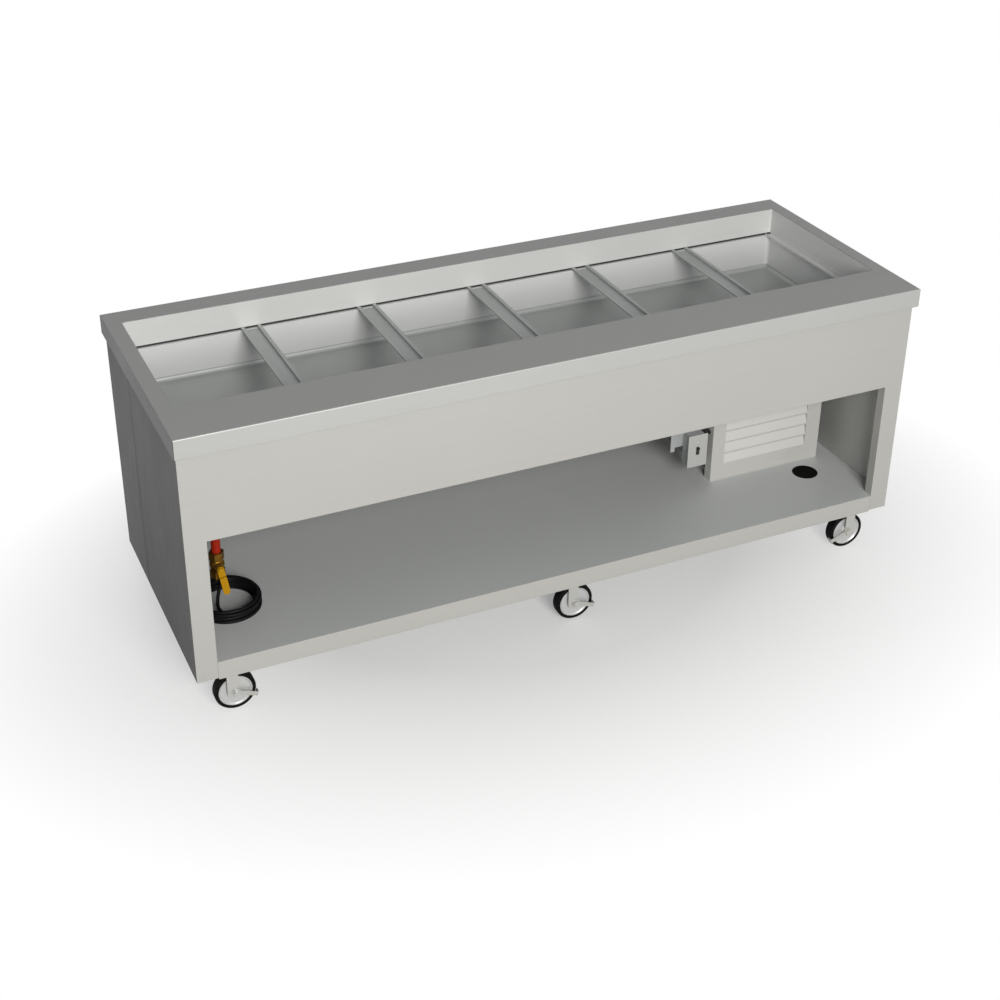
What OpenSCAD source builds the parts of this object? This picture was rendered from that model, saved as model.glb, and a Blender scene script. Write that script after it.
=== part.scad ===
// Mobile refrigerated salad bar: a steel cabinet on six swivel casters, with a
// cold well in the worktop, lift-off adapter bars and a condensing unit below.
// Origin at the middle of the footprint on the floor, +X along the length,
// -Y towards the open operator's side, +Z up. Millimetres.

/* [Worktop] */
// Length of the worktop
top_len = 2286; // [2000:1:2500]
// Depth of the worktop, front to back
top_depth = 813; // [780:1:900]
// Height of the worktop above the floor
top_height = 914; // [880:1:960]
// Height of the folded edge of the worktop
edge_height = 58; // [40:1:64]
// Width of the hem folded in under that edge
edge_hem = 6; // [5:0.5:6.5]
// Thickness of the worktop sheet
top_sheet = 2; // [1.5:0.1:2.5]
// Inner radius of the worktop's folds
fold_radius = 2; // [1:0.5:4]
// Overhang of the worktop at the front and at the back
side_overhang = 17; // [12:1:25]
// Overhang of the worktop at each end
end_overhang = 8; // [8:1:14]

/* [Well] */
// Worktop between its front edge and the well
front_margin = 172; // [150:1:200]
// Worktop between its back edge and the well
back_margin = 80; // [74:1:100]
// Worktop between each end and the well
end_margin = 46; // [44:1:60]
// Depth of the rim walls below the worktop's face
rim_depth = 83; // [70:1:90]
// Width of the flange at the foot of the rim walls
rim_flange = 12; // [8:1:14]
// Corner radius of the rim walls
rim_radius = 5; // [3:0.5:8]
// Thickness of the plastic breaker strip under the rim
breaker_height = 6; // [4:0.5:8]
// Width of the ledge round the well that the bars lie on
ledge_width = 9; // [6:0.5:12]
// Depth of the well's floor below the worktop's face
well_depth = 205; // [180:1:260]
// Thickness of the liner sheet
liner_sheet = 1.2; // [1:0.1:2]
// Corner radius inside the liner
liner_radius = 12; // [8:1:20]
// Insulation beside the liner
side_insulation = 24; // [18:1:25]
// Insulation under the liner
floor_insulation = 38; // [30:1:60]
// Outside diameter of the evaporator tube
tube_dia = 9.5; // [6:0.5:12]
// Number of turns of evaporator tube round the liner
tube_turns = 3; // [1:1:3]

/* [Adapter bars] */
// Number of pan bays in the well
bay_count = 6; // [4:1:6]
// Overall width of an adapter bar
bar_width = 61; // [54:1:70]
// Width of the lower web of an adapter bar
web_width = 42; // [36:1:46]
// Height of a bar's side rails above the ledge
bar_rise = 7; // [5:0.5:10]
// Drop from the side rails to the web
web_drop = 7.5; // [6:0.5:9]
// Depth of the rails' folded outer lips
bar_lip = 4; // [2:0.5:5]
// Thickness of the bar and end rail sheet
bar_sheet = 1.2; // [1:0.1:1.6]
// Play at each end of a bar
bar_play = 1.5; // [1:0.5:3]
// How far the set of bars is pushed to the right
bar_shift = 12; // [0:1:14]
// Width of the fixed end rails
rail_width = 22; // [18:1:30]

/* [Cabinet] */
// Thickness of the cabinet sheet
sheet = 1.5; // [1.2:0.1:2]
// Thickness of the double-skinned end and back panels
panel_thick = 13; // [10:1:13]
// Height of the opening's upper edge above the floor
opening_top = 588; // [540:1:620]
// Width of the front posts
post_width = 61; // [50:1:80]
// Depth of the flanges round the opening
opening_flange = 32; // [24:1:40]
// Height of the posts' and panels' lower edges
panel_bottom = 145; // [143:1:150]
// Height of the bottom shelf's face above the floor
shelf_height = 197; // [190:1:220]
// Height of the shelf's front lip
shelf_lip = 57; // [50:1:60]
// Width of the hem under the shelf's lips
shelf_hem = 11; // [8:1:14]
// Gap between the shelf's lip and the posts
lip_seam = 0.4; // [0.2:0.1:1]
// Diameter of the grommet hole in the shelf
hole_dia = 76; // [50:1:90]

/* [Casters] */
// Height of the caster plates above the floor
caster_height = 155; // [152:1:158]
// Diameter of the wheels
wheel_dia = 120; // [110:1:122]
// Width of the tyres
tyre_width = 32; // [28:1:34]
// Thickness of the tyres
tyre_thick = 11; // [8:1:14]
// Distance from the swivel axis to the axle
caster_trail = 38; // [32:1:42]
// Width of the fork legs
leg_width = 33; // [28:1:36]
// Thickness of the fork's steel
fork_sheet = 3; // [2.5:0.5:4]
// Distance from the cabinet's end to the outer swivel axes
caster_inset_end = 75; // [74:1:100]
// Distance from the cabinet's front and back to the swivel axes
caster_inset_side = 50; // [48:1:70]

/* [Condensing unit] */
// Width of the louvred cover
cover_width = 408; // [390:1:420]
// Height of the louvred cover
cover_height = 310; // [300:1:340]
// Depth of the cover's side flanges
cover_flange = 35; // [25:1:45]
// Distance from the cover's right edge to the right end of the worktop
cover_inset = 84; // [80:1:110]
// Depth that the condensing unit takes in front of the back panel
unit_depth = 482; // [470:1:500]
// Distance between louvres
louvre_pitch = 34; // [30:1:40]
// Height of a louvre's opening
louvre_height = 21; // [16:1:26]
// How far a louvre stands out
louvre_depth = 9; // [6:0.5:12]
// Diameter of the condenser fan
fan_dia = 216; // [180:1:230]

/* [Controls and drain] */
// Width of the switch plate
plate_width = 70; // [66:1:76]
// Height of the switch plate
plate_height = 115; // [108:1:120]
// Outside diameter of the drain pipe
pipe_dia = 26.7; // [22:0.1:30]
// Inside diameter of the drain pipe
pipe_bore = 20.9; // [16:0.1:21]
// Height of the drain valve's stem above the floor
valve_height = 362; // [340:1:420]
// Length of the valve lever below its stem
lever_length = 82; // [70:1:86]
// Diameter of the power cord
cord_dia = 10.4; // [9:0.1:11]

/* [Hidden] */
$fn = 48;

// Overrun of cuts and joins, clearance of loose pieces and play of turning ones
cut = 1;
gap = 0.3;
play = 0.05;

// Colours
steel = "#b4b7b3";
dull_steel = "#9ea3a2";
panel_steel = "#c6c5c0";
galvanised = "#a9adae";
black = "#1b1b1c";
rubber = "#131313";
brass = "#9a6b1c";
yellow = "#c8961a";
pipe_red = "#b0301c";
copper = "#b06c46";
foam = "#d8cfa4";

// Cabinet outline
body_half_len = top_len / 2 - end_overhang;
body_half_depth = top_depth / 2 - side_overhang;
top_under = top_height - top_sheet;
inner_half_len = body_half_len - panel_thick;
back_inner = body_half_depth - panel_thick;
front_inner = -body_half_depth + sheet;
post_inner = body_half_len - post_width;

// Well opening, rim, liner and shell
open_len = top_len - 2 * end_margin;
open_depth = top_depth - front_margin - back_margin;
open_y = (front_margin - back_margin) / 2;
rim_bottom = top_height - rim_depth;
ledge_top = rim_bottom - breaker_height;
liner_len = open_len - 2 * ledge_width;
liner_depth = open_depth - 2 * ledge_width;
floor_top = top_height - well_depth;
shell_len = liner_len + 2 * (liner_sheet + side_insulation + sheet);
shell_depth = liner_depth + 2 * (liner_sheet + side_insulation + sheet);
shell_bottom = floor_top - liner_sheet - floor_insulation - sheet;
flange_under = ledge_top - liner_sheet;

// Adapter bars
bar_pitch = open_len / bay_count;
bar_top = ledge_top + gap + bar_rise;
web_half = web_width / 2;

// Drain
drain_end_inset = 99;
drain_front_inset = 70;
drain_x = -open_len / 2 + drain_end_inset;
drain_y = open_y - open_depth / 2 + drain_front_inset;
cup_radius = 25;
cup_depth = 20;
tail_length = 46;
tail_wall = 3;
pipe_radius = pipe_dia / 2;
tail_bottom = floor_top - cup_depth - tail_length;
strainer_flange = 8;

// Valve
valve_half = 41;
hex_radius = 22;
hex_height = 24;
socket_depth = 18;
ball_radius = 13;
valve_body = 21;
ball_bore = 8;
stem_radius = 6;
stem_reach = 34;
lever_width = 20;
lever_sheet = 2.5;
lever_tilt = 9;
lever_crank = 6;

// Condensing unit
cover_x = top_len / 2 - cover_inset - cover_width / 2;
cover_y = back_inner - unit_depth;
louvre_left = 53;
louvre_right = 46;
louvre_low = 54;
unit_half = 165;
tray_half = 185;
tray_height = 15;
coil_gap = 42;
coil_thick = 40;
coil_height = 250;
shroud_depth = 52;
tray_depth = 410;
coil_rows = 6;
row_pitch = coil_height / coil_rows;
blade_overlap = 8;
fan_y = cover_y + coil_gap + coil_thick + shroud_depth + sheet - blade_overlap;
fan_z = shelf_height + tray_height + coil_height / 2;
hub_radius = 22;
hub_length = 26;
shaft_radius = 4;
motor_radius = 44;
motor_length = 84;
bridge_gap = 12;
bridge_width = 24;
shell_radius = 74;
shell_height = 118;
compressor_back = 336;
compressor_y = cover_y + compressor_back;
dome_share = 1.25;
compressor_foot = 12;
fin_half = unit_half - bridge_width / 2;
body_z = shelf_height + tray_height + compressor_foot + sheet;

// Refrigerant lines
tube_radius = tube_dia / 2;
tube_pitch = 30;
tube_clear = 26;
line_spread = 40;
header_y = open_y + liner_depth / 2 + liner_sheet + tube_radius;
stub_radius = tube_radius * 3 / 2;
suction_z = body_z + shell_height + 3 * compressor_foot;
discharge_z = shelf_height + tray_height + row_pitch;
discharge_x = cover_x + shell_radius + compressor_foot;

// Switch box, bracket and junction box
box_wall = 1.6;
box_width = 51;
box_height = 114;
box_depth = 48;
plate_sheet = 1.5;
plate_beside = 54;
plate_rise = 127;
plate_back = 2;
plate_x = cover_x - cover_width / 2 - plate_beside;
plate_z = shelf_height + plate_rise;
plate_y = cover_y + plate_back;
bracket_y = plate_y + plate_sheet + box_depth;
bracket_left = 70;
bracket_right = 43;
bracket_drop = 2;
bracket_leg = 15;
bracket_leg_drop = 15;
bracket_flange = 28;
rocker_width = 10;
rocker_height = 25;
rocker_angle = 8;
rocker_reach = 3;
conduit_radius = 8.5;
conduit_rise = 46;
conduit_z = plate_z + conduit_rise;

// Casters
mount_x = body_half_len - caster_inset_end;
mount_y = body_half_depth - caster_inset_side;
wheel_radius = wheel_dia / 2;
mount_plate = [95, 67, 3];
channel_width = 84;
channel_sheet = 2;
channel_flange = 9;
race_radius = 29;
race_height = 8;
pin_radius = 6;
pin_head = 9;
pin_head_height = 3.2;
crown_clear = 6;
crown_radius = 26;
leg_offset = 8;
leg_clear = 2.7;
axle_radius = 5;
hub_clear = 1.5;
caster_hub = 14;
bolt_radius = 9;
bolt_height = 5;
brake_width = 13;
brake_sheet = 2.5;
brake_tab = 16;
brake_clear = 2.5;
brake_angle = -20;
crown_bottom = wheel_dia + crown_clear;
race_bottom = caster_height - mount_plate[2] - race_height;
leg_inner = tyre_width / 2 + leg_clear;
leg_outer = leg_inner + fork_sheet;
brake_stack = brake_sheet + 2 * gap;

// Grommet hole in the shelf
hole_end_inset = 176;
hole_setback = 73;
hole_x = top_len / 2 - hole_end_inset;
hole_y = cover_y - hole_setback;
grommet_lip = 3;

// Swivel axes: front left, front middle, front right, then the same at the back,
// each with the direction that its wheel trails in and whether it has a brake
mounts = [
    [-mount_x, -mount_y, 1, true],
    [0, -mount_y, 1, true],
    [mount_x, -mount_y, -1, true],
    [-mount_x, mount_y, 1, false],
    [0, mount_y, 1, false],
    [mount_x, mount_y, -1, false]
];

// Power cord: it drops from its gland, winds into a coil on the shelf in four
// layers and ends in a plug. Places are from the coil's middle, on the shelf.
coil_offset = [26, 23.5];
coil_x = drain_x + coil_offset[0];
coil_y = drain_y + coil_offset[1];
cord_radius = cord_dia / 2;
coil_inner = 82;
coil_pitch = 11;
coil_dip = 8;
dip_turns = 1 / 4;
climb_turns = 1 / 2;
coil_turns = 5 + 1 / 3;
coil_start = -30;
rings_a_turn = 24;
drop_place = [-12, 23];
junction_height = 45;
gland_nut = 8;
gland_collar = 6;
gland_taper = 32;
gland_radius = 13;
gland_end = shell_bottom - junction_height - gland_nut - gland_collar - gland_taper;

// Hand-chosen points of the drop and of the run to the plug
drop_points = [[-12, 23, 330], [-12, 23, 270], [-12, 23, 210], [-12.1, 22.9, 150],
    [-11.4, 22.3, 105.5], [-12.1, 21, 64.3], [-26.3, 3.2, 31.4], [-33.1, -23.6, 16.7],
    [-24.4, -52.1, 10.5], [-5.3, -69.1, 7.5], [17.1, -73.9, 6], [38.7, -67.6, 5.6]];
plug_points = [[-37.9, 71.1, 40.5], [-59.4, 58.3, 45.1], [-73.8, 38.5, 50.4], [-83.5, 18.8, 52.3],
    [-96.4, -2.2, 50.1], [-107.1, -24, 42.1], [-116.1, -48, 32], [-123.1, -73.9, 22.9]];
plug_start = [-126, -112, 18];

// Plug
plug_relief = 28;
plug_taper = 12;
plug_body = 24;
plug_radius = 17;
blade = [6.4, 1.5, 17];
blade_spread = 12.7;
earth_radius = 2.4;

// Shared shapes

// Rectangle with round corners
module round_rect(l, w, r) {
    square([l - 2 * r, w], center = true);
    square([l, w - 2 * r], center = true);
    for (sx = [-1, 1], sy = [-1, 1])
        translate([sx * (l / 2 - r), sy * (w / 2 - r)]) circle(r);
}

// Profile standing on its axis with its two upper corners round
module crown_profile(w, h, r) {
    translate([-w / 2, 0]) square([w, h - r]);
    translate([-w / 2 + r, 0]) square([w - 2 * r, h]);
    for (s = [-1, 1])
        translate([s * (w / 2 - r), h - r]) circle(r);
}

// Block whose four upper edges are folded round
module crowned_block(l, w, h, r) {
    intersection() {
        rotate([90, 0, 90])
            linear_extrude(l, center = true) crown_profile(w, h, r);
        rotate([90, 0, 0])
            linear_extrude(w, center = true) crown_profile(l, h, r);
    }
}

// Tub-shaped block, round at its lower edges and upright corners
module tub_block(l, w, h, r) {
    intersection() {
        translate([0, 0, h]) mirror([0, 0, 1]) crowned_block(l, w, h, r);
        linear_extrude(h) round_rect(l, w, r);
    }
}

// Upright prism between two heights
module prism(l, w, z0, z1) {
    translate([-l / 2, -w / 2, z0]) cube([l, w, z1 - z0]);
}

// Cylinder between two heights
module post(r, z0, z1) {
    translate([0, 0, z0]) cylinder(h = z1 - z0, r = r);
}

// Tube along points whose legs meet square, with a bend at each corner
module run_of_tube(points, r, bend) {
    last = len(points) - 1;
    ways = [for (i = [1 : last]) unit(points[i] - points[i - 1])];
    for (i = [1 : last]) {
        way = ways[i - 1];
        start = points[i - 1] + (i > 1 ? bend : 0) * way;
        end = points[i] - (i < last ? bend : 0) * way;
        translate(start)
            rotate([0, acos(way[2]), atan2(way[1], way[0])])
                cylinder(h = norm(end - start), r = r);
    }
    for (i = [1 : last - 1]) {
        across = -ways[i];
        along = ways[i - 1];
        axis = cross(across, along);
        middle = points[i] - bend * along - bend * across;
        multmatrix([[across[0], along[0], axis[0], middle[0]],
            [across[1], along[1], axis[1], middle[1]],
            [across[2], along[2], axis[2], middle[2]], [0, 0, 0, 1]])
            rotate_extrude(angle = 90) translate([bend, 0]) circle(r);
    }
}

// Worktop and well

module countertop() {
    bend = fold_radius + top_sheet;
    color(steel) {
        difference() {
            translate([0, 0, top_height - edge_height])
                crowned_block(top_len, top_depth, edge_height, bend);
            translate([0, 0, top_height - edge_height - cut])
                crowned_block(top_len - 2 * top_sheet, top_depth - 2 * top_sheet,
                    edge_height + cut - top_sheet, fold_radius);
            translate([0, open_y, top_height - edge_height])
                linear_extrude(edge_height + cut) round_rect(open_len, open_depth, rim_radius);
        }
        difference() {
            prism(top_len, top_depth, top_height - edge_height, top_height - edge_height + top_sheet);
            prism(top_len - 2 * edge_hem, top_depth - 2 * edge_hem,
                top_height - edge_height - cut, top_height - edge_height + top_sheet + cut);
        }
        difference() {
            translate([0, open_y, rim_bottom]) {
                linear_extrude(rim_depth - top_sheet / 2)
                    round_rect(open_len + 2 * top_sheet, open_depth + 2 * top_sheet, rim_radius + top_sheet);
                linear_extrude(top_sheet)
                    round_rect(open_len + 2 * rim_flange, open_depth + 2 * rim_flange, rim_radius);
            }
            translate([0, open_y, rim_bottom - cut])
                linear_extrude(rim_depth + 2 * cut) round_rect(open_len, open_depth, rim_radius);
        }
    }
}

// Four straight strips, butted at the corners
module thermal_break() {
    strip_len = open_len + 2 * rim_flange;
    color(black)
        for (s = [0, 1]) {
            translate([-strip_len / 2, open_y, ledge_top])
                mirror([0, s, 0])
                    translate([0, open_depth / 2, 0]) cube([strip_len, rim_flange, breaker_height]);
            mirror([s, 0, 0])
                translate([open_len / 2, open_y - open_depth / 2 + gap, ledge_top])
                    cube([rim_flange, open_depth - 2 * gap, breaker_height]);
        }
}

// Outside of the liner's tub
module liner_outside() {
    translate([0, open_y, floor_top - liner_sheet])
        tub_block(liner_len + 2 * liner_sheet, liner_depth + 2 * liner_sheet,
            ledge_top - floor_top + liner_sheet, liner_radius + liner_sheet);
}

// Drain cup and tailpiece that are welded into the liner's floor
module drain_outside() {
    translate([drain_x, drain_y, 0]) {
        post(cup_radius + liner_sheet, floor_top - cup_depth, floor_top - liner_sheet / 2);
        post(pipe_radius + tail_wall, tail_bottom, floor_top - cup_depth / 2);
    }
}

module well_liner() {
    color(panel_steel)
        difference() {
            union() {
                liner_outside();
                drain_outside();
                translate([0, open_y, 0]) prism(shell_len, shell_depth, flange_under, ledge_top);
            }
            translate([0, open_y, floor_top])
                tub_block(liner_len, liner_depth, ledge_top - floor_top + cut + liner_radius, liner_radius);
            translate([drain_x, drain_y, 0]) {
                post(cup_radius, floor_top - cup_depth + liner_sheet, floor_top + cut);
                post(pipe_radius, tail_bottom - cut, floor_top);
            }
        }
}

// One turn of evaporator tube on the liner's outside
module tube_turn() {
    corner = liner_radius + liner_sheet + tube_radius;
    half_l = liner_len / 2 + liner_sheet + tube_radius;
    half_w = liner_depth / 2 + liner_sheet + tube_radius;
    for (s = [-1, 1]) {
        translate([-(half_l - corner), s * half_w, 0])
            rotate([0, 90, 0]) cylinder(h = 2 * (half_l - corner), r = tube_radius);
        translate([s * half_l, half_w - corner, 0])
            rotate([90, 0, 0]) cylinder(h = 2 * (half_w - corner), r = tube_radius);
    }
    for (i = [0 : 3])
        translate([(i == 0 || i == 3 ? 1 : -1) * (half_l - corner), (i < 2 ? 1 : -1) * (half_w - corner), 0])
            rotate([0, 0, 90 * i])
                rotate_extrude(angle = 90) translate([corner, 0]) circle(tube_radius);
}

// All turns, with the two upright headers at the back
module tube_circuit() {
    translate([0, open_y, 0])
        for (i = [0 : tube_turns - 1])
            translate([0, 0, floor_top + tube_clear + i * tube_pitch]) tube_turn();
    for (s = [-1, 1])
        translate([cover_x + s * line_spread, header_y, 0])
            post(tube_radius, shell_bottom, floor_top + tube_clear + (tube_turns - 1) * tube_pitch);
}

module well_insulation() {
    color(foam)
        difference() {
            translate([0, open_y, 0])
                prism(shell_len - 2 * sheet, shell_depth - 2 * sheet, shell_bottom + sheet, flange_under);
            translate([0, open_y, floor_top - liner_sheet])
                prism(liner_len + 2 * (liner_sheet + tube_dia + play),
                    liner_depth + 2 * (liner_sheet + tube_dia + play),
                    0, ledge_top - floor_top + liner_sheet);
            drain_outside();
            for (s = [-1, 1])
                translate([cover_x + s * line_spread, header_y, 0])
                    post(tube_radius + play, shell_bottom, floor_top);
        }
}

module cooling_tube() {
    color(copper) tube_circuit();
}

module well_shell() {
    color(galvanised)
        difference() {
            translate([0, open_y, 0]) prism(shell_len, shell_depth, shell_bottom, flange_under);
            translate([0, open_y, 0])
                prism(shell_len - 2 * sheet, shell_depth - 2 * sheet,
                    shell_bottom + sheet, flange_under + cut);
            drain_outside();
            for (s = [-1, 1])
                translate([cover_x + s * line_spread, header_y, 0])
                    post(tube_radius, shell_bottom - cut, shell_bottom + sheet + cut);
        }
}

// Cabinet

module front_fascia() {
    frame_top = opening_top + sheet;
    color(panel_steel)
        translate([0, -body_half_depth, 0]) {
            difference() {
                translate([-body_half_len, 0, panel_bottom])
                    cube([2 * body_half_len, sheet, top_under - panel_bottom]);
                translate([-post_inner, -cut, panel_bottom - cut])
                    cube([2 * post_inner, sheet + 2 * cut, opening_top - panel_bottom + cut]);
            }
            translate([-post_inner, 0, opening_top])
                cube([2 * post_inner, opening_flange, sheet]);
            for (s = [0, 1])
                mirror([s, 0, 0])
                    translate([post_inner, 0, shelf_height])
                        cube([sheet, opening_flange, frame_top - shelf_height]);
            translate([-inner_half_len, 0, top_under - sheet])
                cube([2 * inner_half_len, opening_flange, sheet]);
        }
}

// Double-skinned panel, open along its lower edge
module hollow_panel(l, w) {
    h = top_under - panel_bottom;
    difference() {
        cube([l, w, h]);
        translate([sheet, sheet, -cut]) cube([l - 2 * sheet, w - 2 * sheet, h - sheet + cut]);
    }
}

module end_panel(side) {
    color(dull_steel)
        translate([side * (body_half_len - panel_thick / 2) - panel_thick / 2, front_inner, panel_bottom])
            hollow_panel(panel_thick, body_half_depth - front_inner);
}

module back_panel() {
    color(panel_steel)
        translate([-inner_half_len, back_inner, panel_bottom])
            hollow_panel(2 * inner_half_len, panel_thick);
}

module bottom_shelf() {
    lip_half = post_inner - lip_seam;
    lip_bottom = shelf_height - shelf_lip;
    color(dull_steel)
        difference() {
            union() {
                translate([-inner_half_len, front_inner, shelf_height - sheet])
                    cube([2 * inner_half_len, back_inner - front_inner, sheet]);
                translate([-lip_half, -body_half_depth, lip_bottom])
                    cube([2 * lip_half, sheet, shelf_lip]);
                translate([-lip_half, -body_half_depth, lip_bottom])
                    cube([2 * lip_half, sheet + shelf_hem, sheet]);
                translate([-inner_half_len, back_inner - sheet, lip_bottom])
                    cube([2 * inner_half_len, sheet, shelf_lip]);
            }
            translate([hole_x, hole_y, 0])
                post(hole_dia / 2, shelf_height - sheet - cut, shelf_height + cut);
        }
}

// Three hat channels under the shelf with the six caster plates welded on
module caster_mounts() {
    channel_top = shelf_height - sheet;
    color(galvanised) {
        for (x = [-mount_x, 0, mount_x])
            translate([x, front_inner, 0])
                rotate([-90, 0, 0])
                    linear_extrude(back_inner - sheet - front_inner)
                        mirror([0, 1])
                            translate([0, caster_height]) channel_profile(channel_top - caster_height);
        for (m = mounts)
            translate([m[0], m[1], 0]) caster_plate();
    }
}

// Section of a hat channel that hangs below the shelf
module channel_profile(h) {
    half = channel_width / 2;
    difference() {
        translate([-half, 0]) square([channel_width, h]);
        translate([-half + channel_sheet, channel_sheet])
            square([channel_width - 2 * channel_sheet, h + cut]);
    }
    for (s = [0, 1])
        mirror([s, 0])
            translate([half, h - channel_sheet]) square([channel_flange, channel_sheet]);
}

// Caster plate with its slots, upper race and kingpin
module caster_plate() {
    plate_under = caster_height - mount_plate[2];
    slot_width = 9;
    slot_length = 17;
    slot_x = 38;
    slot_y = 24;
    difference() {
        translate([0, 0, plate_under])
            linear_extrude(mount_plate[2]) round_rect(mount_plate[0], mount_plate[1], pin_radius);
        for (sx = [-1, 1], sy = [-1, 1])
            translate([sx * slot_x, sy * slot_y, plate_under - cut])
                linear_extrude(mount_plate[2] + cut) {
                    square([slot_width, slot_length - slot_width], center = true);
                    for (s = [-1, 1])
                        translate([0, s * (slot_length - slot_width) / 2]) circle(slot_width / 2);
                }
    }
    post(race_radius, race_bottom, plate_under);
    post(pin_radius, crown_bottom - gap, plate_under);
    post(pin_head, crown_bottom - gap - pin_head_height, crown_bottom - gap);
}

// Adapter bars and end rails

// Half section of a bar's side rail: lip, flat top and the upper leg
module rail_half(leg_bottom) {
    translate([web_half - bar_sheet, leg_bottom])
        square([bar_sheet, bar_top - leg_bottom]);
    translate([web_half - bar_sheet, bar_top - bar_sheet])
        square([bar_width / 2 - web_half + bar_sheet, bar_sheet]);
    translate([bar_width / 2 - bar_sheet, bar_top - bar_lip])
        square([bar_sheet, bar_lip]);
}

module adapter_bar(i) {
    bar_x = (i - bay_count / 2) * bar_pitch + bar_shift;
    rail_len = open_depth - 2 * bar_play;
    web_len = liner_depth - 4 * bar_play;
    web_bottom = bar_top - web_drop - bar_sheet;
    color(steel)
        translate([bar_x, open_y, 0]) {
            rotate([90, 0, 0])
                linear_extrude(rail_len, center = true) {
                    rail_half(ledge_top + gap);
                    mirror([1, 0]) rail_half(ledge_top + gap);
                }
            rotate([90, 0, 0])
                linear_extrude(web_len, center = true) {
                    rail_half(web_bottom);
                    mirror([1, 0]) rail_half(web_bottom);
                    translate([-web_half, web_bottom]) square([web_width, bar_sheet]);
                }
        }
}

module end_rails() {
    rail_len = open_depth - 2 * (rim_radius + gap);
    color(steel)
        for (s = [0, 1])
            mirror([s, 0, 0])
                translate([open_len / 2, open_y, ledge_top])
                    rotate([90, 0, 0])
                        linear_extrude(rail_len, center = true) {
                            translate([-rail_width, 0]) square([rail_width, bar_sheet]);
                            translate([-rail_width, 0]) square([bar_sheet, bar_rise]);
                            translate([-bar_sheet, 0]) square([bar_sheet, bar_rise * 2]);
                        }
}

// Drain

module drain_strainer() {
    basket = cup_radius - 2 * gap;
    drop = cup_depth / 2;
    holes_share = [[0, 1], [0.3, 6], [0.56, 12], [0.82, 18]];
    hole_radius = basket / 18;
    color(steel)
        translate([drain_x, drain_y, 0])
            difference() {
                union() {
                    post(cup_radius + strainer_flange, floor_top + gap, floor_top + gap + liner_sheet);
                    post(basket, floor_top - drop, floor_top + gap + liner_sheet);
                }
                post(basket - liner_sheet, floor_top - drop + liner_sheet, floor_top + liner_sheet + cut);
                for (ring = holes_share, k = [0 : ring[1] - 1])
                    rotate([0, 0, 360 * k / ring[1]])
                        translate([ring[0] * basket, 0, 0])
                            post(hole_radius, floor_top - drop - cut, floor_top);
            }
}

module drain_pipe() {
    color(pipe_red)
        translate([drain_x, drain_y, 0])
            difference() {
                post(pipe_radius, valve_height + valve_half - socket_depth, floor_top - cup_depth - gap);
                post(pipe_bore / 2, valve_height, floor_top);
            }
}

module drain_valve() {
    color(brass)
        translate([drain_x, drain_y, valve_height])
            difference() {
                union() {
                    for (s = [-1, 1])
                        translate([0, 0, s * (valve_half - hex_height / 2)])
                            cylinder(h = hex_height, r = hex_radius, center = true, $fn = 6);
                    sphere(valve_body);
                    rotate([90, 0, 0]) cylinder(h = stem_reach * 3 / 4, r = stem_radius * 2);
                }
                cylinder(h = 2 * valve_half + cut, r = ball_bore, center = true);
                for (s = [-1, 1])
                    translate([0, 0, s * (valve_half - socket_depth / 2)])
                        cylinder(h = socket_depth, r = pipe_radius, center = true);
                for (s = [-1, 1])
                    translate([0, 0, s * valve_half]) cylinder(h = cut, r = pipe_radius, center = true);
                sphere(ball_radius + gap);
                rotate([90, 0, 0]) cylinder(h = stem_reach, r = stem_radius + play);
            }
}

// Ball, stem, cranked lever and nut, which turn as one
module drain_lever() {
    half = lever_width / 2;
    color(yellow)
        translate([drain_x, drain_y, valve_height]) {
            difference() {
                union() {
                    sphere(ball_radius);
                    rotate([90, 0, 0]) cylinder(h = stem_reach + 2 * lever_sheet, r = stem_radius);
                }
                cylinder(h = 2 * ball_radius + cut, r = ball_bore, center = true);
            }
            translate([0, -stem_reach - lever_sheet, 0])
                rotate([90, 0, 0]) cylinder(h = hex_height / 4, r = stem_radius * 3 / 2, $fn = 6);
            rotate([0, -lever_tilt, 0]) {
                translate([0, -stem_reach, 0]) rotate([90, 0, 0]) cylinder(h = lever_sheet, r = half);
                translate([-half, -stem_reach - lever_sheet, -lever_length / 3])
                    cube([lever_width, lever_sheet, lever_length / 3]);
                translate([-half, -stem_reach - lever_sheet - lever_crank, -lever_length / 3])
                    cube([lever_width, lever_sheet + lever_crank, lever_sheet]);
                translate([-half, -stem_reach - lever_sheet - lever_crank, -lever_length + half])
                    cube([lever_width, lever_sheet, lever_length * 2 / 3 - half + lever_sheet]);
                translate([0, -stem_reach - lever_crank, -lever_length + half])
                    rotate([90, 0, 0]) cylinder(h = lever_sheet, r = half);
            }
        }
}

// Condensing unit

// Outline of a louvre that bulges out to its lower, open edge
module louvre_outline(h, d) {
    bulge = (h * h + d * d) / (2 * d);
    intersection() {
        translate([d - bulge, 0]) circle(bulge);
        square([d, h]);
    }
}

module louvre(width) {
    difference() {
        linear_extrude(width) louvre_outline(louvre_height, louvre_depth);
        translate([-sheet, -sheet, sheet])
            linear_extrude(width - 2 * sheet) louvre_outline(louvre_height, louvre_depth);
    }
}

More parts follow.
